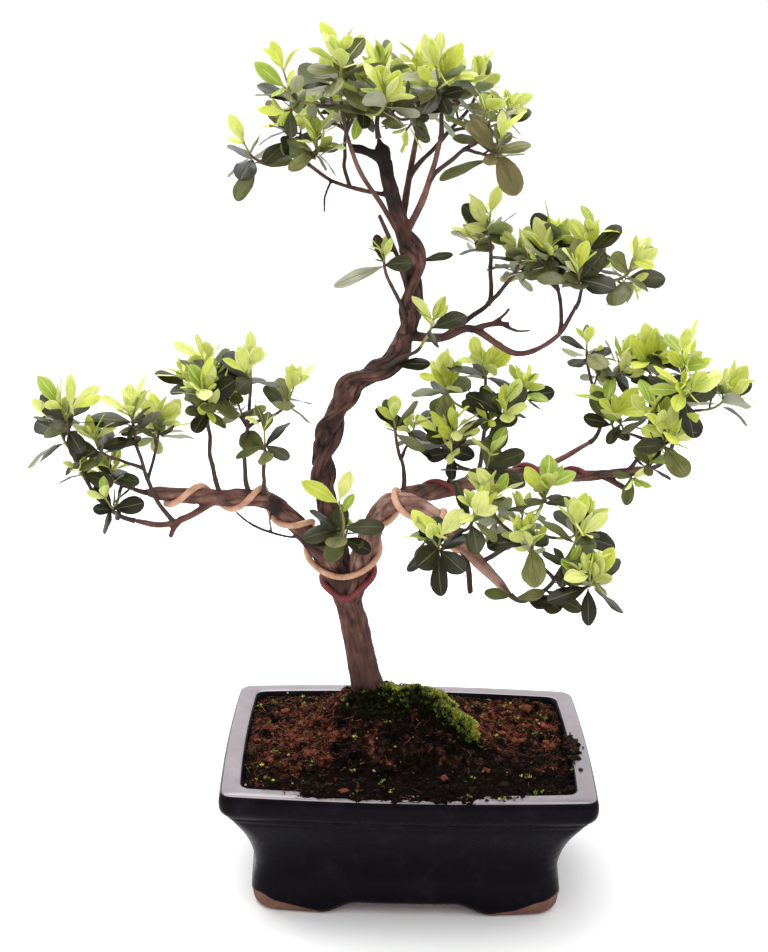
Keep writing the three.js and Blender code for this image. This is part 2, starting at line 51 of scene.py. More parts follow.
SHIFT = (POT_LOW + POT_HIGH) / 2 * (1, 1, 0)
MM = 0.001
UP = np.array([0.0, 0.0, 1.0])
RIGHT = np.array([1.0, 0.0, 0.0])
GOLDEN_ANGLE = 2.39996

# Pot: height and inset from the rim's outline
POT_LENGTH = 200
POT_DEPTH = 146
SIDE_BOW = 4
END_BOW = 1.5
RIM_CORNER = 6
BODY_CORNER = 14
POT_OUTSIDE = [
    (0, 19.6), (0.5, 18.4), (1.6, 17.4), (4, 16.6), (8, 16.1), (11, 16), (16, 16.5), (21, 17.2), (26, 17.3),
    (31, 16.5), (36.5, 15), (42, 13), (47, 10.9), (52, 8.5), (56, 6.6), (58.6, 5.5), (59.6, 5.3), (60.2, 4.5),
    (61, 4.0), (62, 4.0), (62.7, 3.3), (64, 2.0), (66, 0.8), (68.5, 0.15), (71, 0), (73.5, 0.15), (75.3, 0.7),
    (76.4, 1.6), (77, 3.0),
]
POT_INSIDE = [
    (77, 6.5), (77, 9.6), (76.7, 10.6), (76, 11.4), (74.6, 12), (70, 12.6), (62, 14), (50, 18), (34, 24),
    (14, 26),
]
ARCH_HEIGHT = 7
FRONT_ARCH = 92
END_ARCH = 60
FOOT_TOP = 16
ARCH_FADE = 26
DRAIN_RADIUS = 8
DRAIN_PLACE = 38
DRAIN_HEIGHTS = (-2, 6, 11, 18)

# Soil and moss
SOIL_EDGE = 74
MOUND = (-6, 14, 22, 42)
GROUND = 97
FOOT = (-22.5, 22)
MOSS = (16, 6, 27, 13, 7, -0.45)

# Limbs: parent, places each runs through, radius at even steps from base to tip
LIMBS = {
    "trunk": (
        None,
        [(-21, 22, 88), (-29, 22, 126), (-39, 20, 172), (-48, 19, 212), (-49, 20, 244), (-35, 20, 274),
         (-15, 17, 290), (-4, 12, 314), (-5, 8, 345), (-14, 6, 375), (-23, 4, 408.5)],
        [8.2, 7.8, 6.2, 5.2, 4.9, 4.6, 4.3, 3.4],
    ),
    "left": (
        "trunk",
        [(-36, 21, 154), (-43, 19, 169), (-53, 15, 186), (-65, 10, 201), (-80, 4, 215), (-106, -3, 218),
         (-142, -9, 222)],
        [7.2, 6.6, 5.6, 5, 4.6, 4.2, 3.7],
    ),
    "left_low": (
        "left", [(-106, -3, 217), (-120, -8, 209), (-134, -12, 205), (-148, -15, 208)], [2.2, 1.8, 1.5],
    ),
    "right": (
        "trunk",
        [(-34, 21, 154), (-29, 17, 170), (-25, 12, 188), (-20, 4, 206), (-12, -7, 218), (4, -25, 221),
         (36, -60, 201), (48, -70, 191)],
        [7, 6.4, 5.8, 5.2, 4.2, 3.2, 2.3],
    ),
    "right_back": (
        "right",
        [(-20, 3, 208), (-6, 12, 216), (15, 28, 215), (62, 58, 217), (100, 72, 212), (138, 80, 215)],
        [4.8, 4.4, 3.9, 3.2, 2.4],
    ),
    "right_rise": ("right_back", [(70, 62, 217), (87, 71, 223), (103, 80, 230)], [2, 1.5]),
    "upper": (
        "trunk",
        [(-6, 13, 305), (12, 10, 305), (27, 7, 311), (52, 2, 299), (71, -3, 309), (80, -6, 325)],
        [3.0, 2.3, 1.75, 1.4, 1.2],
    ),
    "upper_rise": ("upper", [(14, 10, 306), (28, 18, 315), (38, 26, 322), (38, 32, 339)], [1.8, 1.5, 1.2]),
    "top_left": ("trunk", [(-9, 7, 356), (-20, -4, 375), (-32, -15, 394), (-38, -20, 410)], [1.6, 1.3, 1.15]),
    "top_side": ("trunk", [(-14, 6, 379), (-32, 8, 382), (-47, 11, 386), (-58, 14, 393)], [1.35, 1.1, 1.0]),
    "top_right": ("trunk", [(-9, 7, 358), (0, 1, 378), (5, -5, 396), (8, -9, 410)], [2.0, 1.65, 1.4]),
    "top_back": ("trunk", [(-10, 7, 366), (-7, 22, 385), (-3, 42, 406)], [2, 1.7, 1.4]),
}
WOOD_NODES = [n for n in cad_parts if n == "trunk" or n.startswith("bough_")]
FLARE = dict(spread=0.35, fade=14, roots=5, lobe=0.14)
WOOD_GRID = 0.7
# Strands that wind about the trunk: a second stem, which stands off it in one loop, and a thinner one
STRANDS = [
    dict(start=0.27, end=0.95, turns=4, radius=(3.2, 2.2), zero=0.82, ahead=0, gap=0.5, off=2.4, steps=160),
    dict(start=0.3, end=0.72, turns=3, radius=(2.2, 1.8), zero=0.3, ahead=0.2, gap=0, off=0, steps=120),
]
LOOP_WIDTH = 0.04

# Training wires: radius and runs of limb, from, to, turn in degrees
WIRES = {
    "wire_tan": (1.7, [("left", 0.93, 0.22, -900, 185), ("left", 0.2, 0.15, 200, 240),
                       ("trunk", 0.232, 0.232, 260, 280), ("right", 0.15, 0.82, 150, 1350)]),
    "wire_red_fork": (1.5, [("left", 0.125, 0.1, 100, 215), ("trunk", 0.19, 0.19, 255, 285),
                            ("right", 0.1, 0.125, 150, 260)]),
    "wire_red_bough": (1.5, [("right_back", 0.16, 0.78, 200, 1500)]),
}

# Foliage masses: limb, place on it, tip of the leading shoot, shoots, bearing, spread
MASSES = {
    "top_left": ("top_left", 1, (-42, -22, 442), 4, 190, 25),
    "top_side": ("top_side", 1, (-70, 16, 410), 3, 170, 22),
    "top_crest": ("trunk", 1, (-21, 8, 438), 3, 240, 22),
    "top_right": ("top_right", 1, (6, -12, 438), 3, 60, 25),
    "top_right_low": ("top_right", 0.6, (28, -18, 419), 3, -60, 18),
    "top_back": ("top_back", 1, (-3, 52, 436), 3, 100, 25),
    "top_back_left": ("top_side", 0.5, (-38, 42, 432), 3, 150, 22),
    "top_back_right": ("top_back", 0.5, (28, 34, 432), 3, 30, 22),
    "upper_rise": ("upper_rise", 1, (37, 36, 358), 2, 110, 18),
    "upper_mid": ("upper_rise", 0.6, (53, 24, 344), 1, 0, 0),
    "upper_tip": ("upper", 1, (85, -8, 357), 4, -20, 22),
    "upper_side": ("upper", 0.86, (69, 14, 355), 3, 120, 20),
    "right_rise": ("right_rise", 1, (99, 86, 283), 2, 10, 20),
    "right_crest": ("right_back", 0.93, (133, 56, 252), 3, 150, 22),
    "right_outer": ("right_back", 1, (152, 68, 275), 4, -10, 25),
    "right_low": ("right_back", 0.82, (134, 52, 226), 1, 0, 0),
    "front_inner": ("right", 0.69, (28, -64, 228), 2, 220, 20),
    "front_mid": ("right", 0.86, (64, -56, 238), 3, 10, 24),
    "front_tip": ("right", 1, (78, -80, 224), 3, 165, 20),
    "centre_left": ("right_back", 0.1, (-11, 8, 256), 2, 60, 18),
    "centre_mid": ("right_back", 0.27, (20, 14, 250), 3, 330, 22),
    "centre_right": ("right_back", 0.38, (38, 34, 279), 4, 20, 22),
    "left_tip": ("left_low", 1, (-182, -20, 264), 2, 120, 16),
    "left_outer": ("left_low", 0.55, (-148, -16, 263), 3, 60, 20),
    "left_low": ("left", 1, (-160, -11, 232), 2, 260, 18),
    "left_mid": ("left", 0.72, (-110, 4, 287), 3, 130, 20),
    "left_inner": ("left", 0.61, (-87, -8, 285), 3, 10, 20),
    "left_root": ("left", 0.54, (-79, -18, 252), 1, 0, 0),
    "fork": ("trunk", 0.25, (-38, -14, 203), 1, 0, 0),
    "trunk_right": ("trunk", 0.6, (6, -6, 313), 1, 0, 0),
    "trunk_left": ("trunk", 0.7, (-19, -5, 347), 1, 0, 0),
}
REGIONS = {
    "top": ("top",),
    "upper": ("upper", "trunk"),
    "right": ("right",),
    "front": ("front",),
    "middle": ("centre", "fork"),
    "left": ("left",),
}
# Old rosettes lean to the light at the front; leaves stand apart on the shoot and clear of the limbs
LIGHT = np.array([0.0, -0.32, 0.0])
LEAF_PITCH = 1.0
LEAF_THICKNESS = 0.35
LEAF_ROOM = 0.8

# Kinds of leaves: fewest and most, length, rise in degrees, width to length, bend and fold in degrees
OLD_LEAVES = [
    dict(count=(0, 2), length=(20, 29), rise=(-34, 0), aspect=0.34, bend=(5, 30), fold=(8, 22), tone="long"),
    dict(count=(5, 7), length=(16, 25), rise=(-20, 52), aspect=0.5, bend=(4, 30), fold=(6, 20), tone="old"),
]
NEW_LEAVES = [
    dict(count=(3, 4), length=(12, 20), rise=(24, 76), aspect=0.45, bend=(-16, 34), fold=(8, 26), tone="young"),
    dict(count=(0, 2), length=(5, 10), rise=(55, 86), aspect=0.36, bend=(-18, 8), fold=(20, 40), tone="bud"),
]
TUFT_LEAVES = [
    dict(count=(3, 5), length=(11, 18), rise=(-10, 32), aspect=0.5, bend=(5, 35), fold=(6, 18), tone="old"),
    dict(count=(3, 4), length=(9, 15), rise=(30, 76), aspect=0.44, bend=(-12, 30), fold=(10, 28), tone="young"),
]
# Masses whose leaves differ in size from the rest, as a share
SIZES = {"left_low": 0.72, "left_tip": 1.06, "left_root": 0.9, "right_low": 0.8, "right_rise": 0.88,
         "right_crest": 1.12, "right_outer": 1.18, "centre_left": 0.85, "upper_rise": 0.9, "upper_mid": 0.85,
         "trunk_left": 0.7, "trunk_right": 0.9, "top_side": 0.94, "top_right_low": 0.98, "top_back": 0.9,
         "top_back_left": 0.9, "top_back_right": 0.86, "left_mid": 0.92, "front_tip": 0.95}
# Masses whose lowest leaves are long and hang
HANGING = ("top_left", "top_side", "top_right_low", "top_back_left", "upper_tip", "left_tip", "right_outer")
# Masses with few old leaves: fewest and most of them, and new shoots; the sparse ones bear no spurs
SPARSE = {"trunk_left": ((2, 3), 1), "trunk_right": ((0, 2), 2)}
FRESH = {"right_crest": ((3, 5), 3), "right_outer": ((3, 4), 4), "front_mid": ((3, 5), 3),
         "front_tip": ((3, 5), 3), "centre_right": ((4, 5), 3)}
SPUR_SHARE = 0.68
# Leaves that stand alone: region, root, tip, width and colour
LONE_LEAVES = [
    ("upper", (-18, -4, 345), (-46, -4, 336), 10, "leaf_grey"),
    ("upper", (0, 6, 346), (16, 2, 352), 6, "leaf_deep"),
    ("upper", (-12, 14, 289), (6, 6, 293), 9, "leaf_dark"),
    ("middle", (-40, -15, 220), (-59, -18, 234), 11, "leaf_lime"),
    ("middle", (-40, -15, 221), (-35, -15, 238), 8, "leaf_pale"),
    ("middle", (-39, -14, 214), (-33, -17, 226), 6, "leaf_fresh"),
    ("middle", (-38, -14, 206), (-59, -20, 203), 12, "leaf_deep"),
    ("middle", (-38, -14, 205), (-45, -27, 192), 11, "leaf_mid"),
    ("middle", (-38, -14, 206), (-16, -18, 210), 11, "leaf_deep"),
    ("front", (49, -70.5, 191), (35, -76, 195), 8, "leaf_mid"),
    ("front", (50, -71.5, 190), (62, -84, 199), 8, "leaf_olive"),
    ("front", (56, -75, 190.5), (67, -88, 195), 10, "leaf_dark"),
    ("front", (61, -76.5, 194), (72, -85, 190), 11, "leaf_deep"),
    ("front", (64, -77.5, 197), (83, -84, 190), 9, "leaf_deep"),
    ("front", (67, -78, 201), (96, -82, 206), 6, "leaf_grey"),
]
# New shoot in the fork
FORK_SHOOT = [(-38, -14, 200), (-37.5, -14.5, 210), (-40, -15, 221)]


def unit(v):
    return v / np.linalg.norm(v, axis=-1, keepdims=True)


def mix(a, b, t):
    return a + (b - a) * t


def smooth(t):
    t = np.clip(t, 0, 1)
    return t * t * (3 - 2 * t)


def repeatable(seed):
    """Numbers from 0 to 1 by the same rule as the solids'."""
    state = (seed * 2654435761) % 2**32

    def draw():
        nonlocal state
        state = (state * 1664525 + 1013904223) % 2**32
        return state / 2**32

    return draw


def hash_noise(p, seed):
    """Smooth noise from -1 to 1 at rows of points."""
    cell = np.floor(p).astype(np.int64)
    part = p - cell
    w = part * part * (3 - 2 * part)
    total = np.zeros(len(p))
    for corner in range(8):
        d = np.array([corner & 1, corner >> 1 & 1, corner >> 2 & 1])
        c = cell + d
        h = (c[:, 0] * 73856093) ^ (c[:, 1] * 19349663) ^ (c[:, 2] * 83492791) ^ (seed * 2654435)
        h = (h ^ (h >> 13)) * 1274126177 & 0x7FFFFFFF
        h = (h ^ (h >> 16)) & 0xFFFF
        weight = np.prod(np.where(d == 1, w, 1 - w), axis=1)
        total += weight * (h / 32767.5 - 1)
    return total


def rough(p, seed, octaves=4):
    total = np.zeros(len(p))
    for k in range(octaves):
        total += hash_noise(p * 2**k, seed + k) / 2**k
    return total


class Path:
    """A curve kept as even samples along its length."""

    def __init__(self, points, steps=240):
        points = np.asarray(points, float)
        run = np.concatenate([[0], np.cumsum(np.linalg.norm(np.diff(points, axis=0), axis=1))])
        self.length = run[-1]
        even = np.linspace(0, run[-1], steps + 1)
        self.points = np.stack([np.interp(even, run, points[:, k]) for k in range(3)], axis=1)

    def at(self, u):
        place = np.clip(np.asarray(u, float), 0, 1) * (len(self.points) - 1)
        k = np.minimum(place.astype(int), len(self.points) - 2)
        part = (place - k)[..., None]
        return self.points[k] * (1 - part) + self.points[k + 1] * part

    def heading(self, u):
        u = np.asarray(u, float)
        return unit(self.at(u + 0.004) - self.at(u - 0.004))


def catmull(points):
    p = np.asarray(points, float)
    p = np.vstack([2 * p[0] - p[1], p, 2 * p[-1] - p[-2]])
    t = np.linspace(0, 1, 30, endpoint=False)[:, None]
    rows = []
    for a, b, c, d in zip(p[:-3], p[1:-2], p[2:-1], p[3:]):
        d0, d1, d2 = (max(np.linalg.norm(v), 1e-4) ** 0.5 for v in (b - a, c - b, d - c))
        m1 = ((b - a) / d0 - (c - a) / (d0 + d1) + (c - b) / d1) * d1
        m2 = ((c - b) / d1 - (d - b) / (d1 + d2) + (d - c) / d2) * d1
        rows.append(b + m1 * t + (3 * (c - b) - 2 * m1 - m2) * t**2 + (2 * (b - c) + m1 + m2) * t**3)
    rows.append(p[-2:-1])
    return Path(np.vstack(rows))


def bezier(a, b, c, d):
    t = np.linspace(0, 1, 61)[:, None]
    s = 1 - t
    return Path(a * s**3 + b * 3 * s * s * t + c * 3 * s * t * t + d * t**3, 60)


def along(values, u):
    return np.interp(np.clip(u, 0, 1), np.linspace(0, 1, len(values)), values)


def square_to(axis, reference):
    first = unit(reference - axis * (axis @ reference))
    return first, np.cross(axis, first)


def around(sides, angle):
    return sides[0] * math.cos(angle) + sides[1] * math.sin(angle)


def frames_along(points):
    heading = unit(np.gradient(points, axis=0))
    side = np.empty_like(points)
    ref = RIGHT if abs(heading[0] @ RIGHT) < 0.9 else UP
    for k, t in enumerate(heading):
        ref = unit(ref - t * (t @ ref))
        side[k] = ref
    return heading, side, np.cross(heading, side)


def grid_faces(rows, columns, closed):
    k, j = np.meshgrid(np.arange(rows - 1), np.arange(columns if closed else columns - 1), indexing="ij")
    a = (k * columns + j).ravel()
    b = (k * columns + (j + 1) % columns).ravel()
    return np.stack([a, b, b + columns, a + columns], axis=1)


class Soup:
    """Vertices and faces gathered into one piece; a tag is the face's material."""

    def __init__(self):
        self.verts = []
        self.faces = []
        self.count = 0

    def add(self, verts, faces, tag=0):
        self.faces.append((faces + self.count, np.broadcast_to(np.asarray(tag), len(faces))))
        self.verts.append(verts)
        self.count += len(verts)

    def tube(self, points, radius, sides, tag=0):
        _, side, other = frames_along(points)
        angle = np.arange(sides) * 2 * math.pi / sides
        radius = np.asarray(radius, float)
        radius = np.broadcast_to(radius if radius.ndim == 2 else radius.reshape(-1, 1), (len(points), sides))
        ring = side[:, None] * np.cos(angle)[:, None] + other[:, None] * np.sin(angle)[:, None]
        verts = (points[:, None] + ring * radius[..., None]).reshape(-1, 3)
        last = len(verts)
        verts = np.vstack([verts, points[:1], points[-1:]])
        j = np.arange(sides)
        start = np.stack([np.full(sides, last), (j + 1) % sides, j], axis=1)
        end = np.stack([np.full(sides, last + 1), last - sides + j, last - sides + (j + 1) % sides], axis=1)
        caps = [(cap + self.count, np.full(sides, tag)) for cap in (start, end)]
        self.add(verts, grid_faces(len(points), sides, True), tag)
        self.faces += caps

    def hub(self, first, count, middle, tag=0, flip=False):
        """Closes a ring of vertices with a fan to its middle."""
        j = np.arange(count)
        fan = np.stack([np.full(count, self.count), first + j, first + (j + 1) % count], axis=1)
        self.faces.append((fan[:, ::-1] if flip else fan, np.full(count, tag)))
        self.verts.append(np.array([middle], float))
        self.count += 1

    def piece(self, name, slot, materials):
        return piece(name, np.vstack(self.verts), self.faces, materials)


def lifted(xy, z):
    """Places in plan, raised to one height or each to its own."""
    return np.column_stack([xy, np.broadcast_to(z, len(xy))])


def raw_mesh(name, verts, faces):
    mesh = bpy.data.meshes.new(name)
    corners = np.concatenate([f.ravel() for f, _ in faces]).astype(np.int32)
    sizes = np.concatenate([np.full(len(f), f.shape[1]) for f, _ in faces])
    tags = np.concatenate([t for _, t in faces]).astype(np.int32)
    starts = np.concatenate([[0], np.cumsum(sizes)[:-1]]).astype(np.int32)
    mesh.vertices.add(len(verts))
    mesh.vertices.foreach_set("co", verts.astype(np.float32).ravel())
    mesh.loops.add(len(corners))
    mesh.loops.foreach_set("vertex_index", corners)
    mesh.polygons.add(len(sizes))
    mesh.polygons.foreach_set("loop_start", starts)
    mesh.polygons.foreach_set("material_index", tags)
    mesh.update(calc_edges=True)
    return mesh


def new_object(name, data):
    obj = bpy.data.objects.new(name, data)
    bpy.context.scene.collection.objects.link(obj)
    return obj


def piece(name, verts, faces, materials):
    mesh = raw_mesh(name, verts * MM + SHIFT, faces)
    mesh.polygons.foreach_set("use_smooth", np.full(len(mesh.polygons), True))
    for material in materials:
        mesh.materials.append(material)
    mesh.validate()
    obj = new_object(name, mesh)
    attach(obj, "root")
    return obj


def bake(obj):
    """Keeps the shape that the modifiers give."""
    graph = bpy.context.evaluated_depsgraph_get()
    mesh = bpy.data.meshes.new_from_object(obj.evaluated_get(graph))
    old = obj.data
    obj.modifiers.clear()
    obj.data = mesh
    mesh.name = obj.name
    bpy.data.meshes.remove(old)


def sharpen(obj, degrees):
    obj.data.set_sharp_from_angle(angle=math.radians(degrees))


# Materials
NOISE_DETAIL = 5
NOISE_ROUGHNESS = 0.6
NOISE_RANGE = (0.3, 0.7)
RELIEF_DETAIL = 4
RELIEF_DEPTH = 0.0006


def plug(tree, socket, value):
    """Links a socket to another one, or sets it to a value."""
    if isinstance(value, bpy.types.NodeSocket):
        tree.links.new(value, socket)
    else:
        socket.default_value = value


def add_node(tree, kind, inputs=None, **settings):
    node = tree.nodes.new("ShaderNode" + kind)
    for key, value in settings.items():
        setattr(node, key, value)
    for key, value in (inputs or {}).items():
        plug(tree, node.inputs[key], value)
    return node


def map_range(tree, value, limits, **settings):
    inputs = dict(zip(("From Min", "From Max", "To Min", "To Max"), limits))
    return add_node(tree, "MapRange", {"Value": value, **inputs}, **settings).outputs["Result"]


def colour_ramp(tree, factor, stops):
    ramp = add_node(tree, "ValToRGB", {"Fac": factor})
    elements = ramp.color_ramp.elements
    for k, (position, colour) in ((0, stops[0]), (1, stops[-1])):
        elements[k].position = position
        elements[k].color = (*colour, 1)
    for position, colour in stops[1:-1]:
        elements.new(position).color = (*colour, 1)
    return ramp.outputs["Color"]


def surface(name, stops, scale, roughness, bump=0.0, bump_scale=4.0, attribute=None, **sockets):
    """A material whose colour runs through stops by noise, with rough spots and relief of its own."""
    material = bpy.data.materials.new(name)
    material.use_nodes = True
    tree = material.node_tree
    shader = tree.nodes["Principled BSDF"].inputs
    for key, value in sockets.items():
        shader[key.replace("_", " ")].default_value = value
    if attribute:
        place = add_node(tree, "Attribute", attribute_name=attribute).outputs["Vector"]
    else:
        place = add_node(tree, "TexCoord").outputs["Object"]
    noise = add_node(tree, "TexNoise", {"Vector": place, "Scale": scale, "Detail": NOISE_DETAIL,
                                        "Roughness": NOISE_ROUGHNESS}).outputs["Fac"]
    plug(tree, shader["Base Color"], colour_ramp(tree, noise, stops))
    plug(tree, shader["Roughness"], map_range(tree, noise, (*NOISE_RANGE, *roughness)))
    if bump:
        relief = add_node(tree, "TexNoise", {"Vector": place, "Scale": scale * bump_scale,
                                             "Detail": RELIEF_DETAIL})
        raised = add_node(tree, "Bump", {"Strength": bump, "Distance": RELIEF_DEPTH,
                                         "Height": relief.outputs["Fac"]})
        plug(tree, shader["Normal"], raised.outputs["Normal"])
    return material


def tinted(name, colour, vary, scale, roughness, bump, **sockets):
    """A material of one colour that varies a little about it."""
    dark = tuple(c * (1 - vary) for c in colour)
    light = tuple(min(1, c * (1 + vary)) for c in colour)
    return surface(name, list(zip(NOISE_RANGE, (dark, light))), scale, roughness, bump, **sockets)


# Camera and studio, the lamps in metres
CAMERA_PLACE = np.array([-20.8, -856.8, 487.7])
CAMERA_DOWN = 0.291
CAMERA_YAW = 0.005
CAMERA_ROLL = 0.022
CAMERA_LENS = 63.2
CAMERA_SENSOR = 36
CAMERA_NEAR = 0.01
FLOOR_REACH = 30
FLOOR_STOPS = [(0.4, (0.93, 0.93, 0.935)), (0.6, (0.95, 0.95, 0.95))]
# The sky is brightest above and behind; its horizon is white in every view
SKY_TOP = (0.0, 0.35, 0.94)
SKY_RANGE = (-0.35, 0.95, 0.72, 1.3)
HORIZON_RANGE = (0.06, 0.3, 1.0, 0.0)
LAMPS = {"key": ((-0.3, 0.4, 1.4), 1.5, 26.0), "fill": ((0.9, -0.9, 0.9), 0.8, 2.0)}
LAMP_AIM = np.array([0, 0, 0.28])


def looking(name, data, right, forward, place):
    """A camera or lamp at its place, turned to look forward."""
    obj = new_object(name, data)
    columns = [right, np.cross(right, forward), -forward, place]
    obj.matrix_world = Matrix([[c[k] for c in columns] for k in range(3)] + [[0, 0, 0, 1]])
    return obj


def make_camera():
    level = np.array([math.sin(CAMERA_YAW), math.cos(CAMERA_YAW), 0])
    forward = level * math.cos(CAMERA_DOWN) - UP * math.sin(CAMERA_DOWN)
    across = np.cross(level, UP)
    right = around((across, np.cross(across, forward)), CAMERA_ROLL)
    camera = looking("camera", bpy.data.cameras.new("camera"), right, forward, CAMERA_PLACE * MM + SHIFT)
    camera.data.lens = CAMERA_LENS
    camera.data.sensor_width = CAMERA_SENSOR
    camera.data.clip_start = CAMERA_NEAR
    bpy.context.scene.camera = camera


def make_studio():
    floor = new_object("floor", bpy.data.meshes.new("floor"))
    corners = [(x * FLOOR_REACH, y * FLOOR_REACH, 0) for x, y in ((-1, -1), (1, -1), (1, 1), (-1, 1))]
    floor.data.from_pydata(corners, [], [(0, 1, 2, 3)])
    floor.data.materials.append(surface("floor", FLOOR_STOPS, 3, (0.75, 0.85)))
    world = bpy.data.worlds.new("studio")
    world.use_nodes = True
    tree = world.node_tree
    place = add_node(tree, "TexCoord").outputs["Generated"]
    facing = add_node(tree, "VectorMath", {0: place, 1: SKY_TOP}, operation="DOT_PRODUCT").outputs["Value"]
    height = add_node(tree, "SeparateXYZ", {"Vector": place}).outputs["Z"]
    sky = map_range(tree, facing, SKY_RANGE, interpolation_type="SMOOTHSTEP")
    horizon = map_range(tree, height, HORIZON_RANGE, interpolation_type="SMOOTHSTEP")
    brighter = add_node(tree, "Math", {0: sky, 1: horizon}, operation="MAXIMUM")
    background = tree.nodes["Background"].inputs
    plug(tree, background["Strength"], brighter.outputs["Value"])
    background["Color"].default_value = (1, 1, 1, 1)
    bpy.context.scene.world = world
    for name, (place, size, energy) in LAMPS.items():
        lamp = bpy.data.lights.new(name, "AREA")
        lamp.energy = energy
        lamp.size = size
        forward = unit(LAMP_AIM - np.array(place))
        looking(name, lamp, unit(np.cross(forward, UP)), forward, np.array(place))
    bpy.context.scene.view_settings.view_transform = "Standard"


# Pot: points to an end, a side and a corner, rings of the underside, of the clay and of the glaze on it
END_POINTS = 44
SIDE_POINTS = 76
CORNER_POINTS = 14
UNDER_RINGS = 33
FOOT_RINGS = 8
FLOOR_RINGS = 9
BODY_PITCH = 1.6
CORNER_RISE = (40, 30)
ARCH_FLAT = 0.28
CLAY_HEIGHT = 11.5
GLAZE_BEAD = 0.45
GLAZED, BARE, RIM_REFLECTION = range(3)
POT_LOOKS = {
    "glaze": (
        [(0.3, (0.0022, 0.0016, 0.003)), (0.55, (0.0034, 0.0025, 0.0048)), (0.75, (0.0075, 0.0056, 0.0105))],
        90, (0.2, 0.32), 0.05, 5, dict(Specular_IOR_Level=0.05),
    ),
    "bare_clay": (
        [(0.25, (0.075, 0.03, 0.023)), (0.5, (0.145, 0.06, 0.041)), (0.8, (0.23, 0.105, 0.07))],
        160, (0.8, 0.95), 0.5, 4, {},
    ),
    # Painted reflection: the rim's top is pale lavender-grey where the same dark glaze mirrors the bright sky
    "glaze_rim_painted_reflection": (
        [(0.3, (0.165, 0.135, 0.152)), (0.55, (0.2, 0.166, 0.184)), (0.8, (0.24, 0.203, 0.222))],
        60, (0.16, 0.26), 0.03, 5, dict(IOR=1.7),
    ),
}


def outline(inset, corner):
    """Even count of points round the pot at an inset from its rim, from the right end anticlockwise."""
    x = POT_LENGTH / 2 - inset
    y = POT_DEPTH / 2 - inset
    turn = np.linspace(0, math.pi / 2, CORNER_POINTS + 1)[:-1, None]

    def bowed(a, b, c, count):
        t = np.linspace(0, 1, count + 1)[:-1, None]
        return np.array(a) * (1 - t) ** 2 + np.array(b) * 2 * t * (1 - t) + np.array(c) * t**2

    def arc(cx, cy, start):
        return np.hstack([cx + corner * np.cos(start + turn), cy + corner * np.sin(start + turn)])

    half = np.vstack([
        bowed((x, corner - y), (x + 2 * END_BOW, 0), (x, y - corner), END_POINTS),
        arc(x - corner, y - corner, 0),
        bowed((x - corner, y), (0, y + 2 * SIDE_BOW), (corner - x, y), SIDE_POINTS),
        arc(corner - x, y - corner, math.pi / 2),
    ])
    ring = np.vstack([half, -half])
    for _ in range(3):
        ring = (ring * 2 + np.roll(ring, 1, axis=0) + np.roll(ring, -1, axis=0)) / 4
    return ring


def pot_outline(z, inset):
    low, run = CORNER_RISE
    return outline(inset, mix(BODY_CORNER, RIM_CORNER, smooth((z - low) / run)))


def arch(place, span):
    flat = span * ARCH_FLAT
    return ARCH_HEIGHT * smooth((span / 2 - np.abs(place)) / (span / 2 - flat))


def foot_gap(xy):
    return np.maximum(arch(xy[:, 0], FRONT_ARCH), arch(xy[:, 1], END_ARCH))


def glaze_border(xy):
    """Height at which the glaze ends: bare clay stands highest at the corners and runs out at the arches."""
    x, y = np.abs(xy).T
    corner = np.clip((x - 36) / 44, 0, 1) ** 1.2 * smooth((y - 22) / 30)
    wave = hash_noise(level_points(*xy.T) * 0.09, 5)
    return np.clip(CLAY_HEIGHT * corner * (1 + 0.22 * wave), 0.02, 12)


def pot_rings():
    """Rings of the pot from under its middle to its floor, and those where glaze, lip and inside begin."""
    heights, insets = np.array(POT_OUTSIDE).T
    span = 20
    wide, narrow = outline(0, BODY_CORNER), outline(span, BODY_CORNER)
    base = outline(insets[0], BODY_CORNER)
    gap = foot_gap(base)
    rings = []
    # Underside, from near the middle out to the foot's edge
    for f in np.linspace(0.03, 1, UNDER_RINGS + 1)[:-1]:
        rings.append(lifted(base * f, foot_gap(base * f)))
    # Foot, with one ring along the glaze's border
    border = glaze_border(base)
    for k in range(2 * FOOT_RINGS + 1):
        z = border * k / FOOT_RINGS
        if k > FOOT_RINGS:
            z = mix(border, FOOT_TOP, (k - FOOT_RINGS) / FOOT_RINGS)
        fade = np.exp(-np.maximum(z - border, 0) / 9) * (border > 0.5)
        bead = GLAZE_BEAD * smooth((z - border) / 1.2) * fade
        xy = mix(wide, narrow, ((np.interp(z, heights, insets) - bead) / span)[:, None])
        rings.append(lifted(xy, z + gap * np.clip(1 - z / ARCH_FADE, 0, 1)))
    # Body and lip
    for (z0, i0), (z1, i1) in zip(POT_OUTSIDE, POT_OUTSIDE[1:]):
        if z0 < FOOT_TOP:
            continue
        steps = max(1, int(math.hypot(z1 - z0, i1 - i0) / BODY_PITCH))
        for k in range(steps):
            z, inset = mix(z0, z1, k / steps), mix(i0, i1, k / steps)
            if z > FOOT_TOP + 0.2:
                rings.append(lifted(pot_outline(z, inset), z + gap * max(0, 1 - z / ARCH_FADE)))
    lip = len(rings) - 1
    # Rim, wall and floor inside
    for z, inset in [POT_OUTSIDE[-1]] + POT_INSIDE:
        rings.append(lifted(pot_outline(z, inset), z))
    inner = rings[-1]
    inside = len(rings) - 4
    for f in np.linspace(1, 0.03, FLOOR_RINGS + 1)[1:]:
        rings.append(inner * (f, f, 1))
    return rings, UNDER_RINGS + FOOT_RINGS, lip, inside


